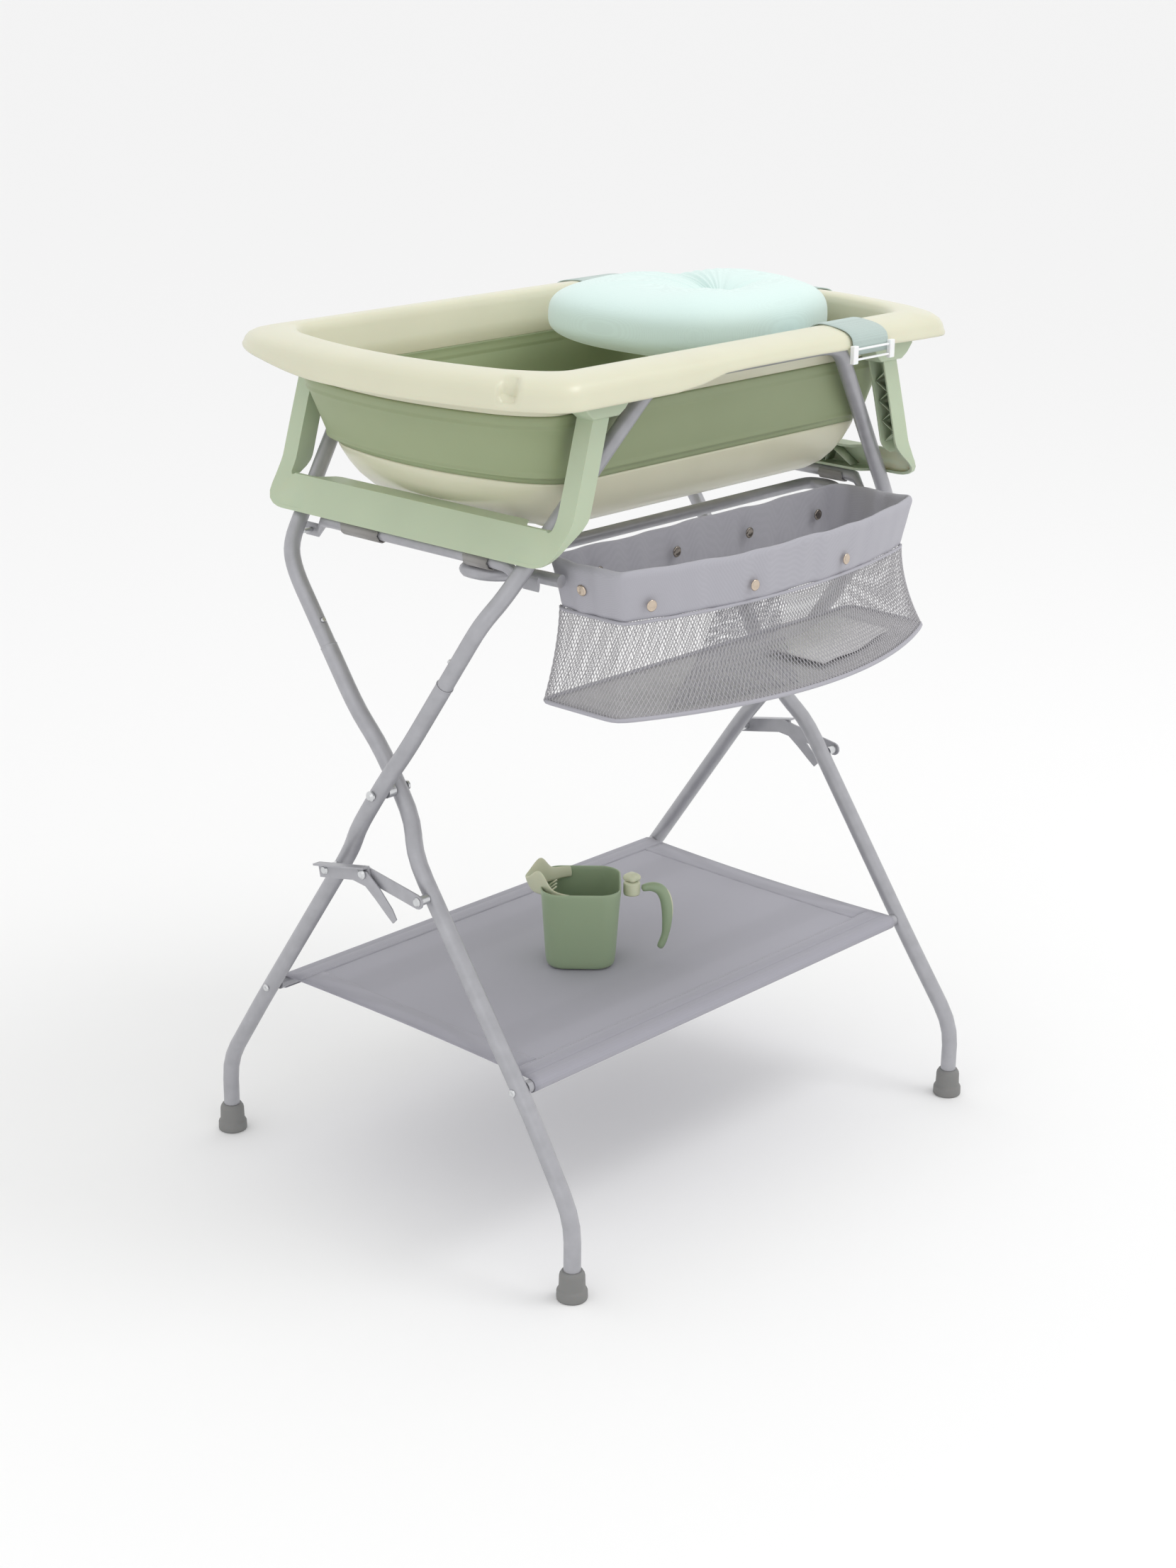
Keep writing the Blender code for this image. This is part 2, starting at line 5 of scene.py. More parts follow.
import bmesh
import bpy
from mathutils import Matrix, Vector


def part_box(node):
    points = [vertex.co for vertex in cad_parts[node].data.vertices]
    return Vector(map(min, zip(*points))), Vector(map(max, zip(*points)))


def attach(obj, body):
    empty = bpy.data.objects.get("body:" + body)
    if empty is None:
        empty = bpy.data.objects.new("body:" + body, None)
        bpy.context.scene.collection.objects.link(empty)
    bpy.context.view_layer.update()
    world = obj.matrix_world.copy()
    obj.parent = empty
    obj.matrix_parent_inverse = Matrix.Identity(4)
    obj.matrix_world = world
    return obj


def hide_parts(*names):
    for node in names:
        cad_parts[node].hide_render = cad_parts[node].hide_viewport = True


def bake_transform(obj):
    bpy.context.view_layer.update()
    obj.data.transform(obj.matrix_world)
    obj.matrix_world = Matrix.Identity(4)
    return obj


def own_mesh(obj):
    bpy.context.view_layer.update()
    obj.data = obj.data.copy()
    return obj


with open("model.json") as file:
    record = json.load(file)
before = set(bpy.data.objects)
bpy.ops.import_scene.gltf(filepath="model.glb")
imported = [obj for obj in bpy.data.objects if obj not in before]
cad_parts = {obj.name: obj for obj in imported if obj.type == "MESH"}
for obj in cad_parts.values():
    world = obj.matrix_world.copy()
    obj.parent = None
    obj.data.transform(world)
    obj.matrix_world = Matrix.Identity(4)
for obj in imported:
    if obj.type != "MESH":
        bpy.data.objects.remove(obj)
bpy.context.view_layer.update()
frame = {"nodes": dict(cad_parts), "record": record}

# Places, worked out from the frame
RIM_LOW, RIM_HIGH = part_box("tub_rim")
MIDDLE = (RIM_LOW + RIM_HIGH) / 2               # the tub's middle
HALF_LONG = (RIM_HIGH.x - RIM_LOW.x) / 2
HALF_WIDE = (RIM_HIGH.y - RIM_LOW.y) / 2
RIM_TOP = RIM_HIGH.z
FRONT_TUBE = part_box("shelf_tube_front")
BACK_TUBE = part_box("shelf_tube_back")
CUFF_LOW, CUFF_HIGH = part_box("basket_cuff")
BAG_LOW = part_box("basket_bag")[0]
CUSHION_LOW, CUSHION_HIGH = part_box("cushion")
JUG_LOW, JUG_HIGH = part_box("jug_body")
JUG_MIDDLE = (JUG_LOW + JUG_HIGH) / 2
JUG_TURN = math.radians(-47.4)                  # from the spout towards the handle

# Sizes that more than one piece shares
FRONT_BOW = 0.037                               # how far the basket's front edge bows out
HEM_X, HEM_Y = 0.041, 0.030                     # widths of the shelf's hems
SHELF_SAG = 0.0012
RIB_HALF = 0.0008                               # half the thickness of a rib


# ---------------------------------------------------------------- materials
def new_material(name, colour, roughness, metallic=0.0):
    made = bpy.data.materials.new(name)
    made.use_nodes = True
    shader = made.node_tree.nodes["Principled BSDF"]
    shader.inputs["Base Color"].default_value = (*colour, 1.0)
    shader.inputs["Roughness"].default_value = roughness
    shader.inputs["Metallic"].default_value = metallic
    return made, shader


def add_node(material, kind, **settings):
    made = material.node_tree.nodes.new(kind)
    for key, value in settings.items():
        setattr(made, key, value)
    return made


def object_place(material, scale=(1, 1, 1)):
    place = add_node(material, "ShaderNodeTexCoord")
    mapping = add_node(material, "ShaderNodeMapping")
    mapping.inputs["Scale"].default_value = scale
    material.node_tree.links.new(place.outputs["Object"], mapping.inputs["Vector"])
    return mapping.outputs["Vector"]


def noise(material, scale, detail=3.0, stretch=(1, 1, 1)):
    made = add_node(material, "ShaderNodeTexNoise")
    made.inputs["Scale"].default_value = scale
    made.inputs["Detail"].default_value = detail
    material.node_tree.links.new(object_place(material, stretch), made.inputs["Vector"])
    return made.outputs["Fac"]


def weave(material, scale):
    """Crossed threads: the largest of three bands, one along each axis."""
    links = material.node_tree.links
    bands = []
    for direction in ("X", "Y", "Z"):
        wave = add_node(material, "ShaderNodeTexWave", bands_direction=direction)
        wave.inputs["Scale"].default_value = scale
        wave.inputs["Distortion"].default_value = 0.4
        links.new(object_place(material), wave.inputs["Vector"])
        bands.append(wave.outputs["Fac"])
    top = add_node(material, "ShaderNodeMath", operation="MAXIMUM")
    links.new(bands[0], top.inputs[0])
    links.new(bands[1], top.inputs[1])
    both = add_node(material, "ShaderNodeMath", operation="MAXIMUM")
    links.new(top.outputs[0], both.inputs[0])
    links.new(bands[2], both.inputs[1])
    return both.outputs[0]


def bump(material, shader, height, strength, distance):
    made = add_node(material, "ShaderNodeBump")
    made.inputs["Strength"].default_value = strength
    made.inputs["Distance"].default_value = distance
    material.node_tree.links.new(height, made.inputs["Height"])
    material.node_tree.links.new(made.outputs["Normal"], shader.inputs["Normal"])


def tint(material, shader, factor, dark, light, low=0.3, high=0.7):
    """The base colour runs from dark to light along a factor."""
    ramp = add_node(material, "ShaderNodeValToRGB")
    ramp.color_ramp.elements[0].position = low
    ramp.color_ramp.elements[0].color = (*dark, 1.0)
    ramp.color_ramp.elements[1].position = high
    ramp.color_ramp.elements[1].color = (*light, 1.0)
    material.node_tree.links.new(factor, ramp.inputs["Fac"])
    material.node_tree.links.new(ramp.outputs["Color"], shader.inputs["Base Color"])


def shade(colour, by):
    return tuple(c * by for c in colour)


def moulded(name, colour, roughness, coat=0.0, grain=900.0):
    """Moulded plastic or silicone: faint mottling and a fine skin texture."""
    made, shader = new_material(name, colour, roughness)
    shader.inputs["Coat Weight"].default_value = coat
    shader.inputs["Coat Roughness"].default_value = 0.25
    shader.inputs["Subsurface Weight"].default_value = 0.06
    shader.inputs["Subsurface Scale"].default_value = 0.004
    tint(made, shader, noise(made, 9.0), shade(colour, 0.965), shade(colour, 1.02))
    bump(made, shader, noise(made, grain), 0.12, 0.0003)
    return made


def metal(name, colour, roughness, metallic, grain, stretch=(1, 1, 1)):
    made, shader = new_material(name, colour, roughness, metallic)
    tint(made, shader, noise(made, 60.0, 4.0, stretch), shade(colour, 0.93), shade(colour, 1.05))
    bump(made, shader, noise(made, grain, 2.0, stretch), 0.10, 0.0002)
    return made


def cloth(name, colour, scale, strength, sheen, contrast=0.86, mottle=0.0):
    """Woven fabric: crossed threads in the colour and in the bump, with sheen at the edges."""
    made, shader = new_material(name, colour, 0.85)
    shader.inputs["Sheen Weight"].default_value = sheen
    shader.inputs["Sheen Roughness"].default_value = 0.5
    threads = weave(made, scale)
    if mottle:
        threads_and_noise = add_node(made, "ShaderNodeMath", operation="MULTIPLY_ADD")
        made.node_tree.links.new(noise(made, 420.0, 4.0), threads_and_noise.inputs[0])
        threads_and_noise.inputs[1].default_value = mottle
        made.node_tree.links.new(threads, threads_and_noise.inputs[2])
        tint(made, shader, threads_and_noise.outputs[0], shade(colour, contrast),
             shade(colour, 1.10), 0.4, 1.3)
    else:
        tint(made, shader, threads, shade(colour, contrast), shade(colour, 1.04))
    bump(made, shader, threads, strength, 0.0004)
    return made


MATERIALS = {
    "paint": metal("tube_paint", (0.40, 0.40, 0.425), 0.38, 0.35, 700.0),
    "zinc": metal("zinc_plate", (0.66, 0.67, 0.68), 0.28, 0.95, 900.0),
    "nickel": metal("champagne_nickel", (0.62, 0.52, 0.42), 0.22, 1.0, 900.0),
    "dark_nickel": metal("dark_nickel", (0.28, 0.25, 0.22), 0.2, 1.0, 900.0),
    "rubber": moulded("foot_rubber", (0.21, 0.21, 0.205), 0.62, 0.0, 500.0),
    "cream": moulded("tub_cream", (0.67, 0.66, 0.50), 0.34, 0.2),
    "green": moulded("leg_green", (0.47, 0.55, 0.395), 0.42, 0.1),
    "silicone": moulded("wall_silicone", (0.30, 0.355, 0.20), 0.5, 0.05, 500.0),
    "white": moulded("clip_white", (0.86, 0.87, 0.87), 0.35, 0.2),
    "jug": moulded("jug_green", (0.27, 0.35, 0.22), 0.40, 0.15),
    "jug_pale": moulded("jug_pale", (0.56, 0.58, 0.42), 0.45, 0.1),
    "cushion": cloth("cushion_knit", (0.64, 0.79, 0.755), 420.0, 0.25, 0.35, 0.93),
    "strap": cloth("strap_webbing", (0.43, 0.52, 0.49), 330.0, 0.4, 0.2, 0.85),
    "basket": cloth("basket_fabric", (0.40, 0.395, 0.435), 450.0, 0.25, 0.15, 0.9),
    "mesh": cloth("basket_mesh", (0.50, 0.49, 0.51), 500.0, 0.2, 0.1, 0.9),
    "lining": cloth("basket_lining", (0.72, 0.71, 0.72), 450.0, 0.2, 0.1, 0.93),
    "shelf": cloth("shelf_fabric", (0.355, 0.35, 0.395), 480.0, 0.3, 0.15, 0.88),
    "velcro": cloth("hook_and_loop", (0.26, 0.25, 0.24), 300.0, 0.6, 0.3, 0.7, 0.9),
}


# ---------------------------------------------------------------- mesh helpers
def piece(name, points, faces, material, owner, slot, stands_for=(), subdivide=0, bevel=0.0, blend=None):
    mesh = bpy.data.meshes.new(name)
    mesh.from_pydata([tuple(p) for p in points], [], faces)
    work = bmesh.new()
    work.from_mesh(mesh)
    bmesh.ops.recalc_face_normals(work, faces=work.faces)
    work.to_mesh(mesh)
    work.free()
    mesh.materials.append(MATERIALS[material])
    for face in mesh.polygons:
        face.use_smooth = True
    made = bpy.data.objects.new(name, mesh)
    bpy.context.scene.collection.objects.link(made)
    if bevel:
        edges = made.modifiers.new("edges", "BEVEL")
        edges.width = bevel
        edges.segments = 3
        edges.limit_method = "ANGLE"
        edges.angle_limit = math.radians(40)
        edges.harden_normals = True
    if subdivide:
        smooth = made.modifiers.new("smooth", "SUBSURF")
        smooth.levels = subdivide
        smooth.render_levels = subdivide
    if blend:
        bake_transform(made)
    else:
        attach(made, owner)
    if stands_for:
        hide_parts(*stands_for)
    return made


def skin(rings, closed=False, caps=True):
    """Points and faces over rings of equal length, closed into a loop or capped at both ends."""
    count = len(rings[0])
    points = [p for ring in rings for p in ring]
    faces = []
    for i in range(len(rings) if closed else len(rings) - 1):
        a, b = i * count, (i + 1) % len(rings) * count
        for k in range(count):
            n = (k + 1) % count
            faces.append((a + k, a + n, b + n, b + k))
    if caps and not closed:
        faces.append(tuple(range(count)))
        faces.append(tuple(range((len(rings) - 1) * count, len(rings) * count)))
    return points, faces


def rounded(points, reach, steps=6):
    """The polyline with each corner replaced by a smooth curve that starts `reach` away."""
    points = [Vector(p) for p in points]
    path = [points[0]]
    for before, corner, after in zip(points, points[1:], points[2:]):
        back, on = before - corner, after - corner
        start = corner + back.normalized() * min(reach, back.length * 0.45)
        end = corner + on.normalized() * min(reach, on.length * 0.45)
        for k in range(steps + 1):
            t = k / steps
            path.append(start * (1 - t) ** 2 + corner * 2 * t * (1 - t) + end * t * t)
    path.append(points[-1])
    return path


def tube_rings(path, radius, sides=16):
    """Rings round a path. radius is a number, or a function of the share of the way along."""
    rings = []
    normal = None
    for i, p in enumerate(path):
        ahead = (path[min(i + 1, len(path) - 1)] - path[max(i - 1, 0)]).normalized()
        if normal is None:
            normal = ahead.orthogonal().normalized()
        normal = (normal - ahead * normal.dot(ahead)).normalized()
        across = ahead.cross(normal)
        r = radius(i / (len(path) - 1)) if callable(radius) else radius
        turn = 2 * math.pi / sides
        rings.append([p + across * r * math.cos(k * turn) + normal * r * math.sin(k * turn)
                      for k in range(sides)])
    return rings


def lathe_rings(profile, base, along, sides=32):
    along = Vector(along).normalized()
    side = along.orthogonal().normalized()
    other = along.cross(side)
    turn = 2 * math.pi / sides
    return [[Vector(base) + along * h + side * r * math.cos(k * turn) + other * r * math.sin(k * turn)
             for k in range(sides)] for r, h in profile]


def smoothstep(low, high, value):
    t = min(max((value - low) / (high - low), 0.0), 1.0)
    return t * t * (3 - 2 * t)


# ---------------------------------------------------------------- tub
def tub_ring(half_x, half_y, z, steps=14, lip=0.0):
    """A ring of the tub's outline. lip is how far this ring follows the front lip's dip."""
    radius = 0.071 * half_y / HALF_WIDE
    bulge = 0.05 * half_y / HALF_WIDE
    ring = []
    for quarter in range(4):
        cx = (half_x - radius) * (1, -1, -1, 1)[quarter]
        cy = (half_y - radius) * (1, 1, -1, -1)[quarter]
        here = [(radius * math.cos(a), radius * math.sin(a)) for a in
                (math.radians(90 * (quarter + k / steps)) for k in range(steps + 1))]
        corner = [(cx + a, cy + b) for a, b in here]
        end_x, end_y = corner[-1]
        next_cx = (half_x - radius) * (1, -1, -1, 1)[(quarter + 1) % 4]
        next_cy = (half_y - radius) * (1, 1, -1, -1)[(quarter + 1) % 4]
        goal = (next_cx if quarter in (0, 2) else end_x, end_y if quarter in (0, 2) else next_cy)
        parts = 16
        run = [(end_x + (goal[0] - end_x) * k / parts, end_y + (goal[1] - end_y) * k / parts)
               for k in range(1, parts)]
        for x, y in corner + run:
            pull = bulge * (y / half_y) ** 2 * abs(x / half_x) ** 6
            dip = lip * 0.012 * smoothstep(-0.07, -0.15, x) * smoothstep(0.25, 0.05, y)
            dip += lip * 0.006 * smoothstep(0.05, 0.33, x) * smoothstep(0.05, -0.2, y)
            ring.append(MIDDLE + Vector((x - math.copysign(pull, x), y, z - MIDDLE.z - dip)))
    return ring


def notch(points):
    """Sinks the drain hose's notch into the left end of the rim."""
    middle = Vector((RIM_LOW.x + 0.040, RIM_LOW.y + 0.062))
    along = Vector((-0.80, -0.60))
    side = Vector((-along.y, along.x))
    out = []
    for p in points:
        flat = Vector((p[0], p[1])) - middle
        across = math.exp(-(flat.dot(side) / 0.0095) ** 4)
        reach = smoothstep(-0.010, 0.006, flat.dot(along))
        depth = 0.0140 * across * reach * smoothstep(RIM_TOP - 0.026, RIM_TOP - 0.012, p[2])
        out.append(Vector(p) - Vector((along.x, along.y, 0)) * depth * 0.8 - Vector((0, 0, depth)))
    return out


def tub_rim():
    section = [
        (0.3970, 0.2587, 1.0050, 1.0), (0.3974, 0.2590, 1.0075, 1.0), (0.3962, 0.2578, 1.0100, 0.9),
        (0.3945, 0.2563, 1.0145, 0.5), (0.3915, 0.2533, 1.0185, 0.3), (0.3860, 0.2480, 1.0216, 0.1),
        (0.3760, 0.2395, 1.0240, 0.0), (0.3640, 0.2280, 1.0262, 0.0), (0.3540, 0.2180, RIM_TOP, 0.0),
        (0.3475, 0.2115, 1.0258, 0.0), (0.3440, 0.2075, 1.0225, 0.0), (0.3425, 0.2050, 1.0150, 0.0),
        (0.3415, 0.1995, 0.9950, 0.0), (0.3412, 0.1945, 0.9764, 0.0), (0.3420, 0.1950, 0.9757, 0.0),
        (0.3434, 0.1965, 0.9757, 0.0), (0.3440, 0.1970, 0.9764, 0.0), (0.3455, 0.2030, 0.9880, 0.0),
        (0.3475, 0.2090, 1.0040, 0.0), (0.3510, 0.2125, 1.0160, 0.0), (0.3620, 0.2240, 1.0185, 0.0),
        (0.3860, 0.2475, 1.0165, 0.3), (0.3925, 0.2540, 1.0130, 0.6), (0.3940, 0.2557, 1.0055, 1.0),
        (0.3950, 0.2567, 1.0045, 1.0),
    ]
    points, faces = skin([tub_ring(a, b, z, 30, dip) for a, b, z, dip in section], closed=True)
    piece("rim_moulding", notch(points), faces, "cream", "tub", "tub_cream", ["tub_rim"])


def tub_wall():
    """The folding wall: a top bead, a flat panel, a step and a lower bead."""
    outer = [
        (0.3440, 0.1970, 0.9756), (0.3446, 0.1976, 0.9730),
        (0.3438, 0.1970, 0.9690), (0.3425, 0.1962, 0.9660),
        (0.3418, 0.1956, 0.9640), (0.3424, 0.1960, 0.9618),
        (0.3418, 0.1955, 0.9600), (0.3396, 0.1944, 0.9580),
        (0.3300, 0.1902, 0.9350), (0.3205, 0.1862, 0.9120),
        (0.3190, 0.1855, 0.9085), (0.3200, 0.1862, 0.9065),
        (0.3192, 0.1858, 0.9045), (0.3150, 0.1842, 0.9035),
        (0.3085, 0.1818, 0.9020), (0.3060, 0.1808, 0.8990),
        (0.3050, 0.1803, 0.8960),
    ]
    inner = [(a - 0.0028, b - 0.0028, z) for a, b, z in reversed(outer)]
    wall = piece("folding_wall", *skin([tub_ring(a, b, z) for a, b, z in outer + inner], closed=True),
                 "silicone", "tub", "silicone_green", ["tub_wall"])
    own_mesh(wall)


def tub_bowl():
    outer = [
        (0.3052, 0.1804, 0.8958), (0.3046, 0.1800, 0.8930),
        (0.3010, 0.1782, 0.8860), (0.2930, 0.1735, 0.8730),
        (0.2830, 0.1670, 0.8600), (0.2700, 0.1580, 0.8480),
        (0.2540, 0.1450, 0.8390), (0.2360, 0.1290, 0.8352),
        (0.2150, 0.1100, 0.8345),
    ]
    inner = [(a - 0.003, b - 0.003, z + 0.003) for a, b, z in reversed(outer)]
    inner[-1] = (inner[-1][0], inner[-1][1], 0.8958)
    rings = [tub_ring(a, b, z) for a, b, z in outer]
    floor = [[p.lerp(Vector((MIDDLE.x, MIDDLE.y, p.z)), t) for p in rings[-1]] for t in (0.35, 0.7)]
    inside = [tub_ring(a, b, z) for a, b, z in inner]
    under = [[p.lerp(Vector((MIDDLE.x, MIDDLE.y, p.z)), t) for p in inside[0]] for t in (0.7, 0.35)]
    piece("bowl_moulding", *skin(rings + floor + under + inside, closed=True),
          "cream", "bowl", "tub_cream", ["tub_bowl"])
    for index, (sx, sy) in enumerate(((-1, -1), (1, -1), (-1, 1), (1, 1))):
        base = (MIDDLE.x + sx * 0.185, MIDDLE.y + sy * 0.095, 0.8352)
        profile = [(0.020, 0), (0.022, -0.002), (0.020, -0.0065), (0.0175, -0.0075), (0.004, -0.0075)]
        piece("bowl_foot_" + str(index), *skin(lathe_rings(profile, base, (0, 0, 1), 24)),
              "cream", "bowl", "tub_cream")


def leg_outer_x(z):
    """How far out the tub leg's outer face stands at a height."""
    if z > 0.875:
        return 0.263 + (0.984 - z) * 0.295
    t = (0.875 - z) / 0.055
    return 0.2952 + 0.016 * t + 0.0185 * smoothstep(0.0, 1.0, t)


def tub_legs():
    half = [(0.2187, 0.9800), (0.2192, 0.9550), (0.2203, 0.9000),
            (0.2205, 0.8390), (0.1700, 0.8390), (0.0, 0.8390)]
    half = rounded([(0, y, z) for y, z in half], 0.030, 8)
    line = half + [Vector((0, -p.y, p.z)) for p in reversed(half[:-1])]
    for side, label in ((-1, "left"), (1, "right")):
        rings = []
        for i, p in enumerate(line):
            ahead = (line[min(i + 1, len(line) - 1)] - line[max(i - 1, 0)]).normalized()
            across = Vector((0, -ahead.z, ahead.y))
            flat = abs(ahead.y)
            width = 0.0235 + 0.0130 * smoothstep(0.2, 0.9, flat)
            middle = smoothstep(0.170, 0.150, abs(p.y))
            depth = 0.026 * (1 - flat) ** 1.5 + 0.0045 * flat + 0.020 * middle * flat
            ring = []
            for u, d in ((-1, 0), (1, 0), (1, 1), (0.80, 1), (0.80, 0.16),
                         (-0.80, 0.16), (-0.80, 1), (-1, 1)):
                edge = p + across * u * width / 2
                face = leg_outer_x(edge.z)
                ring.append((MIDDLE.x + side * (face - depth * d - 0.0001), MIDDLE.y + edge.y, edge.z))
            rings.append(ring)
        piece("tub_leg_shell_" + label, *skin(rings), "green", "tub_legs_" + label, "tub_green",
              ["tub_leg_" + label], bevel=0.0014)
        for end in (-1, 1):
            post_ribs(side, end, label)
            hinge_cap(side, end, label)
        bar_ribs(side, label)


def ribs(name, side, label, places, deep, thin):
    """A zigzag rib set into a channel of a tub leg, through places (y, z)."""
    rings = []
    for y, z in places:
        face = leg_outer_x(z)
        ring = []
        for depth, t in ((0.004, -1), (0.004, 1), (deep, 1), (deep, -1)):
            ring.append((MIDDLE.x + side * (face - depth), MIDDLE.y + y + t * thin.x, z + t * thin.y))
        rings.append(ring)
    piece(name, *skin(rings), "green", "tub_legs_" + label, "tub_green")


def post_ribs(side, end, label):
    places = []
    for k in range(8):
        y = 0.2205 - 0.0022 * k / 7 + (0.0075 if k % 2 else -0.0075)
        places.append((end * y, 0.872 + 0.0125 * k))
    name = "post_ribs_" + label + ("_back" if end > 0 else "_front")
    ribs(name, side, label, places, 0.021, Vector((0, RIB_HALF)))


def bar_ribs(side, label):
    places = [(-0.140 + 0.020 * k, 0.839 + (0.0125 if k % 2 else -0.0125)) for k in range(15)]
    ribs("bar_ribs_" + label, side, label, places, 0.022, Vector((RIB_HALF, 0)))


def hinge_cap(side, end, label):
    """The moulded hinge block under the rim that a post turns in."""
    rings = []
    x, y = 0.2500, 0.2230
    for z, half_x, half_y in ((1.0040, 0.0370, 0.0150), (0.9920, 0.0370, 0.0150), (0.9820, 0.0290, 0.0142),
                              (0.9745, 0.0200, 0.0125)):
        ring = []
        for a, b in ((-1, -1), (1, -1), (1, 1), (-1, 1)):
            ring.append((MIDDLE.x + side * (x + a * half_x), MIDDLE.y + end * (y + b * half_y), z))
        rings.append(ring)
    points, faces = skin(rings)
    name = "hinge_cap_" + label + ("_back" if end > 0 else "_front")
    piece(name, points, faces, "green", "tub", "tub_green", bevel=0.0022)


# ---------------------------------------------------------------- padded rest
def cushion():
    """A puffed ring with a deep dimple and a gathered neck on its back side."""
    low, high = CUSHION_LOW, CUSHION_HIGH
    bottom = low.z - 0.014
    waist = bottom + (high.z - bottom) * 0.50
    dimple = Vector((low.x + (high.x - low.x) * 0.53, low.y + (high.y - low.y) * 0.36))
    middle = (low + high) / 2
    half = (high - low) / 2
    steps, layers = 216, 30
    rings = []
    for layer in range(2 * layers + 1):
        ring = []
        for k in range(steps):
            angle = 2 * math.pi * k / steps
            lobe_x = math.copysign(abs(math.cos(angle)) ** 0.74, math.cos(angle))
            lobe_y = math.copysign(abs(math.sin(angle)) ** 0.74, math.sin(angle))
            off = math.atan2(math.sin(angle - math.radians(62)), math.cos(angle - math.radians(62)))
            neck = math.exp(-(off / 0.36) ** 2)
            edge = Vector((middle.x + half.x * lobe_x * (1 - 0.05 * neck),
                           middle.y + half.y * lobe_y * (1 - 0.05 * neck)))
            if layer <= layers:
                turn = math.pi * layer / layers
                share = 0.535 - 0.465 * math.cos(turn)
                lift = math.sin(turn) ** 0.72 if 0 < layer < layers else 0.0
                floor = waist + 0.004 * (1 - layer / layers)
                z = floor + (high.z - floor) * lift * (1 - 0.24 * neck)
                z += 0.0024 * neck ** 0.5 * lift * math.sin(46 * angle)
                z += 0.0014 * lift * math.sin(5 * angle + 1.3)
                z += 0.0012 * (1 - layer / layers) ** 2 * lift * math.sin(17 * angle)
            else:
                turn = math.pi / 2 * (layer - layers) / layers
                share = 0.03 + 0.97 * math.cos(turn)
                z = waist - (waist - bottom) * math.sin(turn) ** 0.62
            flat = dimple.lerp(edge, share)
            ring.append((flat.x, flat.y, z))
        rings.append(ring)
    made = piece("rest_cushion", *skin(rings), "cushion", "rest",
                 "cushion_fabric", ["cushion"], subdivide=1)


def webbing(name, path, place, width, stands_for):
    """A flat strap along (run, z) pairs, with a rolled edge on each side."""
    path = rounded([(run, 0, z) for run, z in path], 0.012, 5)
    thick = 0.0009
    rings = []
    for i, p in enumerate(path):
        ahead = (path[min(i + 1, len(path) - 1)] - path[max(i - 1, 0)]).normalized()
        up = Vector((-ahead.z, 0, ahead.x))
        ring = []
        for w, h in ((-1, 0.4), (-0.97, 1), (-0.5, 1.0), (0, 1.0), (0.5, 1.0), (0.97, 1), (1, 0.4),
                     (1, -0.4), (0.97, -1), (0.5, -1), (0, -1), (-0.5, -1), (-0.97, -1), (-1, -0.4)):
            q = p + up * thick * h
            ring.append(place(q.x, w * width / 2, q.z))
        rings.append(ring)
    points, faces = skin(rings)
    return piece(name, points, faces, "strap", "rest", "strap_webbing", stands_for)


def ladder_clip(name, centre, size, axis, stands_for):
    """A white ladder-lock: a frame with two bars and a slot between them."""
    half = Vector(size) / 2
    made_points, made_faces = [], []

    def block(offset, extent):
        base = len(made_points)
        for a in (-1, 1):
            for b in (-1, 1):
                for c in (-1, 1):
                    made_points.append(centre + offset + Vector((extent.x * a, extent.y * b, extent.z * c)))
        for quad in ((0, 1, 3, 2), (4, 5, 7, 6), (0, 1, 5, 4), (2, 3, 7, 6), (0, 2, 6, 4), (1, 3, 7, 5)):
            made_faces.append(tuple(base + q for q in quad))

    along = Vector((1, 0, 0)) if axis == "x" else Vector((0, 1, 0))
    run = half.x if axis == "x" else half.y
    side = Vector((half.x, half.y, 0)) - along * run
    for sign in (-1, 1):
        block(along * sign * (run - 0.0045), along * 0.0045 + side + Vector((0, 0, half.z + 0.0035)))
    for level in (-1, 1):
        bar = along * (run - 0.0092) + side * 0.7 + Vector((0, 0, 0.0012))
        block(Vector((0, 0, level * (half.z - 0.0012))), bar)
    piece(name, made_points, made_faces, "white", "rest", "clip_white", stands_for, bevel=0.0010)


def straps():
    for label, sign in (("front", -1), ("back", 1)):
        low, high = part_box("strap_" + label)
        middle = (low.x + high.x) / 2
        width = high.x - low.x
        lip = HALF_WIDE + 0.0019
        path = [(0.150, 0.992), (0.178, 1.010), (0.2050, 1.0270),
                (0.2180, RIM_TOP + 0.0014), (0.2400, 1.0256),
                (0.2520, 1.0222), (lip, 1.0150), (lip, 0.9965)]
        made = webbing("rest_strap_" + label, path, lambda run, w, z, s=sign, m=middle:
                       (m + w, MIDDLE.y + s * run, z), width, ["strap_" + label])
        clip_low, clip_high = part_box("strap_clip_" + label)
        ladder_clip("rest_clip_" + label, (clip_low + clip_high) / 2 + Vector((0, -sign * 0.001, 0.004)),
                    clip_high - clip_low, "x", ["strap_clip_" + label])
    low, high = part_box("strap_head")
    lip = HALF_LONG + 0.0019
    path = [(0.306, 1.012), (0.325, 1.0240), (0.3430, 1.0285), (0.3540, RIM_TOP + 0.0014), (0.3760, 1.0258),
            (0.3900, 1.0222), (lip, 1.0150), (lip, 0.9965)]
    made = webbing("rest_strap_head", path, lambda run, w, z: (MIDDLE.x + run, (low.y + high.y) / 2 + w, z),
                   high.y - low.y, ["strap_head"])
    clip_low, clip_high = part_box("strap_clip_head")
    ladder_clip("rest_clip_head", (clip_low + clip_high) / 2 + Vector((-0.001, 0, 0.004)),
                clip_high - clip_low, "y", ["strap_clip_head"])


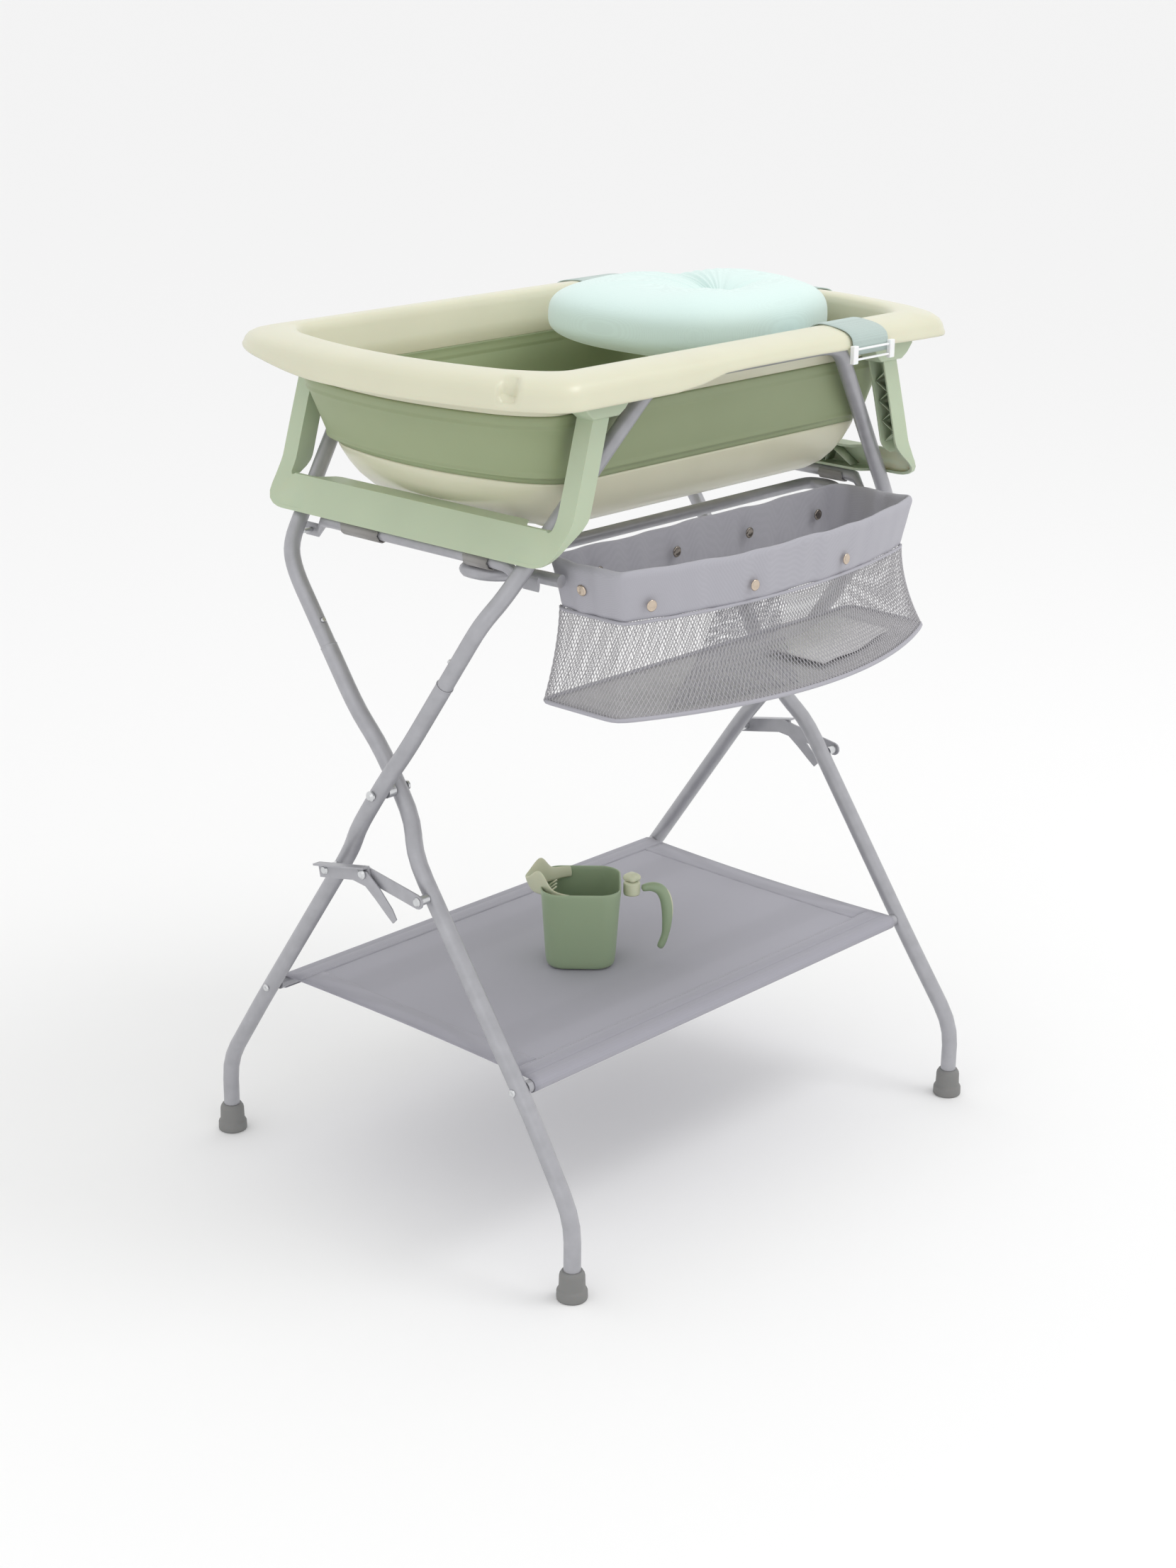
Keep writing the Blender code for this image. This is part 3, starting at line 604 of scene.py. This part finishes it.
# ---------------------------------------------------------------- basket
def basket_outline(half_x, back, corner, bulge, count=72, gather=0.0, shift=0.0):
    """Plan points of the basket, counted round its edge: bowed front, straight sides and back."""
    middle_x = (CUFF_LOW.x + CUFF_HIGH.x) / 2
    shape = []
    for k in range(count):
        x = half_x * (2 * k / count - 1)
        shape.append((x, corner - bulge * (1 - (x / half_x) ** 2)))
    for k in range(count // 4):
        shape.append((half_x, corner + (back - corner) * k / (count // 4)))
    for k in range(count):
        shape.append((half_x * (1 - 2 * k / count), back))
    for k in range(count // 4):
        shape.append((-half_x, back + (corner - back) * k / (count // 4)))
    smooth = shape
    for _ in range(3):
        smooth = [tuple((smooth[i - 1][c] + 2 * smooth[i][c] + smooth[(i + 1) % len(smooth)][c]) / 4
                        for c in (0, 1)) for i in range(len(smooth))]
    ring = []
    for i, (x, y) in enumerate(smooth):
        wave = 0.5 * math.sin(i * 0.83) + 0.6 * math.sin(i * 0.37 + 1.0) + 0.5 * math.sin(i * 1.31)
        wave *= gather
        ring.append((middle_x + shift + x * (1 + wave / half_x), y + wave * 0.6))
    return ring


def basket():
    back = CUFF_HIGH.y
    front = CUFF_LOW.y
    half = (CUFF_HIGH.x - CUFF_LOW.x) / 2
    corner = front + FRONT_BOW
    top, joint = CUFF_HIGH.z, CUFF_LOW.z
    rows = [
        (joint - 0.0110, -0.012, 0.0010), (joint + 0.002, -0.0100, 0.0016),
        (joint + 0.018, -0.0050, 0.0018),
        (joint + 0.036, -0.001, 0.0014), (top - 0.006, 0.002, 0.0012), (top, -0.001, 0.0012),
        (top + 0.001, -0.005, 0.0012), (top - 0.003, -0.0085, 0.0014), (top - 0.018, -0.0105, 0.0020),
        (joint + 0.010, -0.0170, 0.0020), (joint - 0.009, -0.0180, 0.0014),
    ]
    rings = []
    for z, swell, gather in rows:
        outline = basket_outline(half + swell, back + swell * 0.3 - 0.001,
                                 corner - swell * 0.4, FRONT_BOW, gather=gather)
        rings.append([(x, y, z + 0.0007 * math.sin(i * 0.55) + 0.0009 * math.sin(i * 0.21))
                      for i, (x, y) in enumerate(outline)])
    cuff = piece("cuff_fabric", *skin(rings, closed=True), "basket", "tray",
                 "basket_fabric", ["basket_cuff"], subdivide=1)
    piping(joint - 0.0105, half - 0.0115, back - 0.0045, corner + 0.0045, FRONT_BOW, 0.0020, "cuff_piping")
    net(half, back, corner, joint)
    snaps(half, back, corner, joint)


def piping(z, half, back, corner, bulge, radius, name, shift=0.0):
    line = [Vector((x, y, z)) for x, y in basket_outline(half, back, corner, bulge, 60, shift=shift)]
    rings = []
    for i, p in enumerate(line):
        ahead = (line[(i + 1) % len(line)] - line[i - 1]).normalized()
        out = Vector((ahead.y, -ahead.x, 0))
        rings.append([p + out * radius * math.cos(a) + Vector((0, 0, radius * math.sin(a)))
                      for a in (k * math.pi / 4 for k in range(8))])
    piece(name, *skin(rings, closed=True), "basket", "tray", "basket_fabric")


def net(half, back, corner, joint):
    """Mesh walls as real netting, a fabric floor, and inside pockets."""
    base = BAG_LOW.z
    levels = 24
    rings = []
    count = 100
    for k in range(levels + 1):
        t = k / levels
        spread = t ** 1.8
        half_x = half - 0.013 + 0.030 * spread
        bulge = FRONT_BOW + 0.034 * spread
        outline = basket_outline(half_x, back - 0.004, corner + 0.004 - 0.010 * spread, bulge, count,
                                 shift=0.005 * spread)
        z = joint - 0.008 - (joint - 0.008 - base) * t
        rings.append([(x, y, z) for x, y in outline])
    total = len(rings[0])
    points = []
    faces = []
    for k, ring in enumerate(rings):
        for i in range(total):
            p, q = Vector(ring[i]), Vector(ring[(i + 1) % total])
            points.append(p if k % 2 == 0 else (p + q) / 2)
    for k in range(1, levels):
        shift = 1 if k % 2 else 0
        for i in range(total):
            left = k * total + i
            right = k * total + (i + 1) % total
            above = (k - 1) * total + (i + shift) % total
            below = (k + 1) * total + (i + shift) % total
            if k % 2 == 0:
                above = (k - 1) * total + i
                below = (k + 1) * total + i
            faces.append((left, above, right, below))
    made = piece("side_netting", points, faces, "mesh", "tray", "basket_fabric", ["basket_bag"])
    wire = made.modifiers.new("threads", "WIREFRAME")
    wire.thickness = 0.0011
    wire.use_even_offset = False
    floor = [(x, y, z) for x, y, z in rings[-1]]
    middle = Vector((0, 0, 0))
    for p in floor:
        middle += Vector(p) / total
    layers = [[Vector(p).lerp(middle, t) + Vector((0, 0, -0.004 * math.sin(min(t, 1) * math.pi / 2)))
               for p in floor] for t in (0.0, 0.15, 0.4, 0.7, 0.98)]
    points, faces = skin(layers)
    bottom = piece("basket_floor", points, faces[:-2] + faces[-1:], "mesh", "tray", "basket_fabric")
    thick = bottom.modifiers.new("thickness", "SOLIDIFY")
    thick.thickness = 0.0012
    edge = floor[0][2]
    piping(edge, half + 0.0170, back - 0.004, corner - 0.006, 0.071, 0.0026, "base_piping", 0.005)
    pockets(half, corner, joint, base)


def pockets(half, corner, joint, base):
    """The net pocket behind the front wall, and the pale lining card on the right of the floor."""
    middle_x = (CUFF_LOW.x + CUFF_HIGH.x) / 2
    levels, count = 20, 26
    points, faces = [], []
    for k in range(levels + 1):
        t = k / levels
        start = -0.133 - 0.085 * t ** 1.5
        bulge = FRONT_BOW + 0.034 * t ** 1.8
        for i in range(count + 1):
            x = start + (-0.030 - start) * (i + 0.5 * (k % 2)) / count
            y = corner + 0.009 - bulge * (1 - (x / half) ** 2)
            points.append((middle_x + x, y, joint - 0.009 - (joint - 0.012 - base) * t))
    row = count + 1
    for k in range(1, levels):
        shift = 0 if k % 2 == 0 else 1
        for i in range(1, count):
            here = k * row + i
            faces.append((here, here - row + shift, here + 1, here + row + shift))
    made = piece("inside_pocket", points, faces, "basket", "tray", "basket_fabric")
    wire = made.modifiers.new("threads", "WIREFRAME")
    wire.thickness = 0.0012
    wire.use_even_offset = False
    rings = []
    for k in range(13):
        x = 0.045 + 0.175 * k / 12
        near = corner + 0.014 - 0.055 * (1 - (x / half) ** 2)
        z = base + 0.0045 + 0.0015 * math.sin(k * 0.9)
        rings.append([(middle_x + x, near, z), (middle_x + x, near + 0.085, z + 0.001),
                      (middle_x + x, near + 0.085, z + 0.0018), (middle_x + x, near, z + 0.0008)])
    card = piece("floor_card", *skin(rings), "lining", "tray", "basket_fabric")


def snaps(half, back, corner, joint):
    """Press studs: pale ones outside, dark ones inside the back wall."""
    middle_x = (CUFF_LOW.x + CUFF_HIGH.x) / 2
    profile = [(0.0062, 0.0), (0.0066, 0.0008), (0.0060, 0.0017), (0.0045, 0.0021),
               (0.0040, 0.0018), (0.0008, 0.0018)]
    for index, x in enumerate((-0.225, -0.080, 0.085)):
        y = corner - FRONT_BOW * (1 - (x / half) ** 2) - 0.0008
        slope = 2 * FRONT_BOW * x / half ** 2
        points, faces = skin(lathe_rings(profile, (middle_x + x, y, joint + 0.009), (slope, -1, 0)))
        piece("snap_outer_" + str(index), points, faces, "nickel", "tray", "zinc")
    points, faces = skin(lathe_rings(profile, (middle_x - half + 0.0036, corner + 0.060, joint + 0.019),
                                     (-1, 0, -0.2)))
    piece("snap_side", points, faces, "nickel", "tray", "zinc")
    for index, x in enumerate((-0.19, -0.06, 0.07, 0.20)):
        points, faces = skin(lathe_rings(profile, (middle_x + x, back - 0.0125, joint + 0.020), (0, -1, 0)))
        piece("snap_inner_" + str(index), points, faces, "dark_nickel", "tray", "zinc")


# ---------------------------------------------------------------- shelf
def shelf():
    """A stretched fabric panel with a sleeve round each shelf tube and hemmed ends."""
    front = (FRONT_TUBE[0] + FRONT_TUBE[1]) / 2
    rear = (BACK_TUBE[0] + BACK_TUBE[1]) / 2
    low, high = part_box("shelf_panel")
    radius = (FRONT_TUBE[1].z - FRONT_TUBE[0].z) / 2 + 0.0009
    profile = [(front.y + radius * math.cos(a), front.z + radius * math.sin(a))
               for a in (math.radians(300 - 21 * k) for k in range(11))]
    span = rear.y - front.y
    for k in range(1, 40):
        t = k / 40
        profile.append((front.y + span * t, front.z + radius + 0.0002 - SHELF_SAG * math.sin(math.pi * t)))
    profile += [(rear.y + radius * math.cos(a), rear.z + radius * math.sin(a))
                for a in (math.radians(90 - 21 * k) for k in range(11))]
    columns = 60
    points = []
    for i in range(columns + 1):
        x = low.x + (high.x - low.x) * i / columns
        for j, (y, z) in enumerate(profile):
            pull = 0.006 * math.sin(math.pi * min(max((y - front.y) / span, 0), 1))
            share = (x - (low.x + high.x) / 2) / ((high.x - low.x) / 2)
            points.append((x - share ** 5 * pull, y, z))
    rows = len(profile)
    faces = [(i * rows + j, i * rows + j + 1, (i + 1) * rows + j + 1, (i + 1) * rows + j)
             for i in range(columns) for j in range(rows - 1)]
    joined = ("frame_a", "frame_b", (0, front.y, front.z), (0, rear.y, rear.z))
    made = piece("shelf_cloth", points, faces, "shelf", None, "shelf_fabric", ["shelf_panel"], blend=joined)
    thick = made.modifiers.new("thickness", "SOLIDIFY")
    thick.thickness = 0.0009
    thick.offset = 0
    hems(low, high, front, rear, radius, joined)
    seams(low, high, front, rear, radius, joined)


def hems(low, high, front, rear, radius, joined):
    """The turned-under border of the shelf cloth, a doubled layer with a soft edge."""
    level = front.z + radius + 0.0002
    left, right = low.x + HEM_X, high.x - HEM_X
    near, far = front.y + HEM_Y, rear.y - HEM_Y
    bands = [((low.x + 0.003, near), (high.x - 0.003, near), (0, -0.022)),
             ((low.x + 0.003, far), (high.x - 0.003, far), (0, 0.022)),
             ((left, near), (left, far), (-0.033, 0)), ((right, near), (right, far), (0.033, 0))]
    for index, (start, end, wide) in enumerate(bands):
        start, end, wide = Vector(start), Vector(end), Vector(wide)
        rings = []
        for k in range(33):
            base = start.lerp(end, k / 32)
            drop = SHELF_SAG * math.sin(math.pi * min(max((base.y - front.y) / (rear.y - front.y), 0), 1))
            pucker = 0.00035 * math.sin(k * 2.1 + index)
            ring = []
            for share, rise in ((-0.02, -0.0004), (0.0, 0.0010 + pucker),
                                (0.08, 0.0017), (0.5, 0.0013), (0.98, 0.0010),
                                (1.0, -0.0004)):
                ring.append((base.x + wide.x * share, base.y + wide.y * share, level - drop + rise))
            rings.append(ring)
        piece("shelf_hem_" + str(index), *skin(rings), "shelf", None, "shelf_fabric", blend=joined)


def seams(low, high, front, rear, radius, joined):
    """Rows of stitches round the shelf's border, each stitch a short flat capsule."""
    level = front.z + radius + 0.0018
    inside = 0.003
    left, right = low.x + HEM_X - inside, high.x - HEM_X + inside
    near, far = front.y + HEM_Y - inside, rear.y - HEM_Y + inside
    lines = [((low.x + 0.004, near), (high.x - 0.004, near)), ((low.x + 0.004, far), (high.x - 0.004, far)),
             ((left, near), (left, far)), ((right, near), (right, far))]
    pitch = 0.0045
    points, faces = [], []
    for a, b in lines:
        start, end = Vector(a), Vector(b)
        run = end - start
        along = run.normalized()
        across = Vector((-along.y, along.x))
        for k in range(int(run.length / pitch)):
            base = start + along * (pitch * k + 0.0008)
            first = len(points)
            t = (base.y - front.y) / (rear.y - front.y)
            z = level - SHELF_SAG * math.sin(math.pi * t)
            for u, v, w in ((0, -1, 0), (0, 1, 0), (1, 1, 0), (1, -1, 0), (0.2, 0, 1), (0.8, 0, 1)):
                q = base + along * 0.0030 * u + across * 0.0004 * v
                points.append((q.x, q.y, z + 0.0004 * w))
            for face in ((0, 1, 4), (1, 2, 5, 4), (2, 3, 5), (3, 0, 4, 5), (3, 2, 1, 0)):
                faces.append(tuple(first + f for f in face))
    piece("shelf_stitches", points, faces, "basket", None, "shelf_fabric", blend=joined)


# ---------------------------------------------------------------- jug
def jug_point(out, across, up):
    turn = Matrix.Rotation(JUG_TURN, 3, "Z")
    return Vector((JUG_MIDDLE.x, JUG_MIDDLE.y, JUG_LOW.z)) + turn @ Vector((out, across, up))


def jug_ring(half_out, half_across, radius, up, tip=0.0):
    ring = []
    for quarter in range(4):
        cx = (half_out - radius) * (1, -1, -1, 1)[quarter]
        cy = (half_across - radius) * (1, 1, -1, -1)[quarter]
        for k in range(9):
            angle = math.radians(90 * (quarter + k / 8))
            x, y = cx + radius * math.cos(angle), cy + radius * math.sin(angle)
            ring.append(jug_point(x, y, up + tip * smoothstep(0.01, -0.05, x)))
    return ring


def jug():
    height = JUG_HIGH.z - JUG_LOW.z
    section = [
        (0.030, 0.030, 0.014, 0.0010), (0.0375, 0.0375, 0.020, 0.0), (0.0415, 0.0415, 0.022, 0.0022),
        (0.0435, 0.0435, 0.023, 0.0080), (0.0455, 0.0465, 0.024, 0.040), (0.0480, 0.0500, 0.025, 0.080),
        (0.0500, 0.0525, 0.026, height - 0.0015), (0.0497, 0.0522, 0.026, height),
        (0.0480, 0.0505, 0.0245, height),
        (0.0475, 0.0500, 0.024, height - 0.0015), (0.0455, 0.0470, 0.0225, 0.070),
        (0.0430, 0.0435, 0.021, 0.030),
        (0.0405, 0.0405, 0.020, 0.0085), (0.0370, 0.0370, 0.018, 0.0045), (0.0290, 0.0290, 0.014, 0.0035),
    ]
    piece("jug_moulding", *skin([jug_ring(*s) for s in section]),
          "jug", "jug", "jug_green", ["jug_body"], subdivide=1)
    spout(height)
    hub_and_handle()


def spout(height):
    """A pale lip round the spout side that rises to two horns, with a dip between them."""
    rings = []
    for k in range(41):
        angle = math.radians(105 + 150 * k / 40)
        near = abs(angle - math.pi)
        reach = 1 + 0.42 * math.exp(-(near / 0.42) ** 2)
        x, y = 0.0500 * math.cos(angle) * reach, 0.0520 * math.sin(angle) * (1 + 0.12 * math.cos(near))
        rise = 0.018 * math.exp(-((near - 0.42) / 0.20) ** 2) + 0.006 * math.exp(-(near / 0.8) ** 2)
        inner = 1 - 0.0030 / math.hypot(x, y)
        bottom = height - 0.014
        ring = [jug_point(x * inner * 0.86, y * inner * 0.94, bottom),
                jug_point(x * 0.88, y * 0.95, bottom),
                jug_point(x, y, height + rise), jug_point(x * inner, y * inner, height + rise)]
        rings.append(ring)
    piece("jug_lip", *skin(rings), "jug_pale", "jug", "jug_pale", ["jug_spout"], subdivide=2)
    for index in (-1, 0, 1):
        line = [jug_point(-0.030, index * 0.011, height - 0.004),
                jug_point(-0.040, index * 0.013, height - 0.012),
                jug_point(-0.0445, index * 0.014, height - 0.022)]
        piece("jug_strainer_" + str(index + 1), *skin(tube_rings(rounded(line, 0.005), 0.0011, 8)),
              "jug_pale", "jug", "jug_pale")


def hub_and_handle():
    low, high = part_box("jug_hub")
    centre = Vector(((low.x + high.x) / 2, (low.y + high.y) / 2, low.z))
    tall = high.z - low.z
    profile = [(0.0060, 0.0), (0.0098, 0.0006), (0.0105, 0.003),
               (0.0105, tall - 0.003), (0.0098, tall - 0.0006),
               (0.0060, tall)]
    piece("jug_hub_ring", *skin(lathe_rings(profile, centre, (0, 0, 1))),
          "jug_pale", "jug", "jug_pale", ["jug_hub"])
    low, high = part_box("jug_knob")
    rings = []
    for share, up in ((0.55, 0.0), (0.95, 0.001), (1.0, 0.004),
                      (0.92, 0.0075), (0.55, 0.0100), (0.15, 0.0105)):
        ring = []
        for k in range(48):
            a = 2 * math.pi * k / 48
            r = 0.0100 * share * (1 - 0.16 * share * math.cos(4 * a))
            ring.append((centre.x + r * math.cos(a), centre.y + r * math.sin(a), low.z + up))
        rings.append(ring)
    piece("jug_clover_knob", *skin(rings), "jug_pale", "jug_knob", "jug_green", ["jug_knob"], subdivide=1)
    line = [jug_point(out, 0, up) for out, up in
            ((0.0745, 0.094), (0.088, 0.0975), (0.100, 0.093), (0.1065, 0.078),
             (0.1080, 0.055), (0.1060, 0.032),
             (0.0985, 0.0135))]
    path = rounded(line, 0.012, 6)
    rings = tube_rings(path, lambda t: 0.0048 + 0.0026 * math.sin(math.pi * min(t * 1.15, 1.0)) ** 0.8, 18)
    piece("jug_grip", *skin(rings), "jug", "jug_handle", "jug_green", ["jug_handle"], subdivide=1)
    line = [p + (jug_point(1, 0, 0) - jug_point(0, 0, 0)) * 0.0042 for p in path[4:-10]]
    points, faces = skin(tube_rings(line,
                                    lambda t: 0.0040 * math.sin(math.pi * (0.08 + 0.84 * t)) ** 0.5, 12))
    piece("jug_grip_inlay", points, faces, "jug_pale", "jug_handle", "jug_pale")


# ---------------------------------------------------------------- stand details
def smooth_cad():
    """CAD nodes that stay: welded and smoothly shaded for the render, with a real finish."""
    finishes = {"satin_tube": "paint", "zinc": "zinc"}
    for entry in frame["record"]["subparts"]:
        node = frame["nodes"][entry["node"]]
        if node.hide_render or entry["material_slot"] not in finishes:
            continue
        name = finishes[entry["material_slot"]]
        if entry["node"].startswith(("lock_channel", "lock_latch", "lock_link")):
            name = "paint"
        for index in range(len(node.material_slots)):
            node.material_slots[index].material = MATERIALS[name]
        weld = node.modifiers.new("weld", "WELD")
        weld.merge_threshold = 0.00002
        even = node.modifiers.new("even", "EDGE_SPLIT")
        even.split_angle = math.radians(35)
        for face in node.data.polygons:
            face.use_smooth = True


def feet():
    for end, owner in (("front", "frame_a"), ("back", "frame_b")):
        for label in ("left", "right"):
            low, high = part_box("foot_" + end + "_" + label)
            base = Vector(((low.x + high.x) / 2, (low.y + high.y) / 2, 0))
            tall = high.z
            profile = [(0.0120, 0.0), (0.0168, 0.0), (0.0178, 0.0012), (0.0180, 0.0030), (0.0178, 0.0105),
                       (0.0170, 0.0122), (0.0158, 0.0130), (0.0153, 0.0150),
                       (0.0150, 0.0240), (0.0149, 0.0290),
                       (0.0143, 0.0318), (0.0132, 0.0333), (0.0124, 0.0350), (0.0112, tall), (0.0060, tall)]
            points, faces = skin(lathe_rings(profile, base, (0, 0, 1), 40))
            name = "rubber_foot_" + end + "_" + label
            piece(name, points, faces, "rubber", owner, "foot_rubber", ["foot_" + end + "_" + label])


def screws():
    """Cross-head screws on the legs' outer faces, at the ends of the shelf tubes."""
    profile = [(0.0046, 0.0), (0.0046, 0.0008), (0.0040, 0.0020), (0.0026, 0.0028),
               (0.0018, 0.0022), (0.0003, 0.0020)]
    for name, owner, box in (("front", "frame_a", FRONT_TUBE), ("back", "frame_b", BACK_TUBE)):
        middle = (box[0] + box[1]) / 2
        for side, label in ((-1, "left"), (1, "right")):
            edge = box[0].x if side < 0 else box[1].x
            base = Vector((edge + side * 0.0198, middle.y, middle.z))
            piece("shelf_screw_" + name + "_" + label, *skin(lathe_rings(profile, base, (side, 0, 0), 24)),
                  "zinc", owner, "zinc")


def collars():
    """The swaged ring where each hoop tube plugs into its lower leg."""
    for node, owner in (("hoop_a", "frame_a"), ("hoop_b", "frame_b")):
        for side, label in ((-1, "left"), (1, "right")):
            top = 1 if node == "hoop_a" else -1
            slope = Vector((0, top * 0.70, 1)).normalized()
            plane = (0.345 if node == "hoop_a" else 0.362) * side + MIDDLE.x
            end = Vector((plane, MIDDLE.y + top * 0.10395, 0.6775))
            profile = [(0.0098, -0.0016), (0.0103, -0.0008), (0.0103, 0.0), (0.0099, 0.0006)]
            points, faces = skin(lathe_rings(profile, end, slope, 28), caps=False)
            piece("seam_ring_" + node[-1] + "_" + label, points, faces, "paint", owner, "satin_tube")


def velcro():
    """Rolled hook-and-loop straps on the end bars, each a spiral with a loose tail."""
    for label, side in (("left", -1), ("right", 1)):
        for number in ("1", "2"):
            node = "strap_roll_" + label + "_" + number
            low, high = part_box(node)
            centre_x = MIDDLE.x + side * 0.312
            centre_z = 0.8125
            section = []
            for k in range(30):
                angle = math.radians(25 - 8.2 * k)
                radius = 0.0087 + 0.0012 * k / 30
                section.append((centre_x - side * radius * math.cos(angle),
                                centre_z + radius * math.sin(angle)))
            rings = []
            for i, (x, z) in enumerate(section):
                a, b = section[max(i - 1, 0)], section[min(i + 1, len(section) - 1)]
                ahead = Vector((b[0] - a[0], b[1] - a[1])).normalized()
                off = Vector((-ahead.y, ahead.x)) * 0.0008
                edge = 0.0006 * math.sin(i * 1.1)
                rings.append([(x + off.x, low.y + edge, z + off.y), (x + off.x, high.y - edge, z + off.y),
                              (x - off.x, high.y - edge, z - off.y), (x - off.x, low.y + edge, z - off.y)])
            points, faces = skin(rings)
            made = piece("velcro_" + label + "_" + number, points,
                         faces, "velcro", "tray", "velcro", [node])


# ---------------------------------------------------------------- stage
def stage():
    size = 400.0
    mesh = bpy.data.meshes.new("floor")
    rows = [(-size, -size, 0), (size, -size, 0), (size, size, 0), (-size, size, 0)]
    mesh.from_pydata(rows, [], [(0, 1, 2, 3)])
    floor = bpy.data.objects.new("floor", mesh)
    bpy.context.scene.collection.objects.link(floor)
    material, shader = new_material("pale_floor", (0.90, 0.90, 0.90), 0.9)
    shader.inputs["Specular IOR Level"].default_value = 0.1
    mesh.materials.append(material)


def light(name, place, aim, size, power, colour=(1, 1, 1)):
    data = bpy.data.lights.new(name, "AREA")
    data.shape = "DISK"
    data.size = size
    data.energy = power
    data.color = colour
    made = bpy.data.objects.new(name, data)
    made.location = place
    made.rotation_euler = (Vector(aim) - Vector(place)).to_track_quat("-Z", "Y").to_euler()
    bpy.context.scene.collection.objects.link(made)


def lights():
    world = bpy.data.worlds.new("studio")
    world.use_nodes = True
    world.node_tree.nodes["Background"].inputs["Color"].default_value = (1.0, 1.0, 1.0, 1.0)
    world.node_tree.nodes["Background"].inputs["Strength"].default_value = 1.0
    bpy.context.scene.world = world
    bpy.context.scene.view_settings.view_transform = "Standard"
    light("key", (1.1, -1.5, 3.6), (0, 0, 0.5), 1.5, 24)
    light("fill", (-3.0, -1.2, 1.8), (0, 0, 0.6), 2.2, 5)


def camera():
    """The photograph's own place, direction and lens."""
    azimuth, elevation, roll = math.radians(-47.365), math.radians(19.206), math.radians(0.556)
    back = Vector((math.sin(azimuth) * math.cos(elevation), -math.cos(azimuth) * math.cos(elevation),
                   math.sin(elevation)))
    level = Vector((math.cos(azimuth), math.sin(azimuth), 0))
    right = (level * math.cos(roll) + back.cross(level) * math.sin(roll)).normalized()
    up = back.cross(right)
    place = Vector((-2.2191, -2.0267, 1.4961)) + Vector((MIDDLE.x, MIDDLE.y, 0))
    data = bpy.data.cameras.new("camera")
    data.sensor_fit = "HORIZONTAL"
    data.sensor_width = 36.0
    data.lens = 78.488
    made = bpy.data.objects.new("camera", data)
    made.matrix_world = Matrix((
        (right.x, up.x, back.x, place.x), (right.y, up.y, back.y, place.y),
        (right.z, up.z, back.z, place.z),
        (0, 0, 0, 1)))
    bpy.context.scene.collection.objects.link(made)
    bpy.context.scene.camera = made


def main():
    camera()
    tub_rim()
    tub_wall()
    tub_bowl()
    tub_legs()
    cushion()
    straps()
    basket()
    shelf()
    jug()
    feet()
    screws()
    collars()
    velcro()
    smooth_cad()
    stage()
    lights()


main()
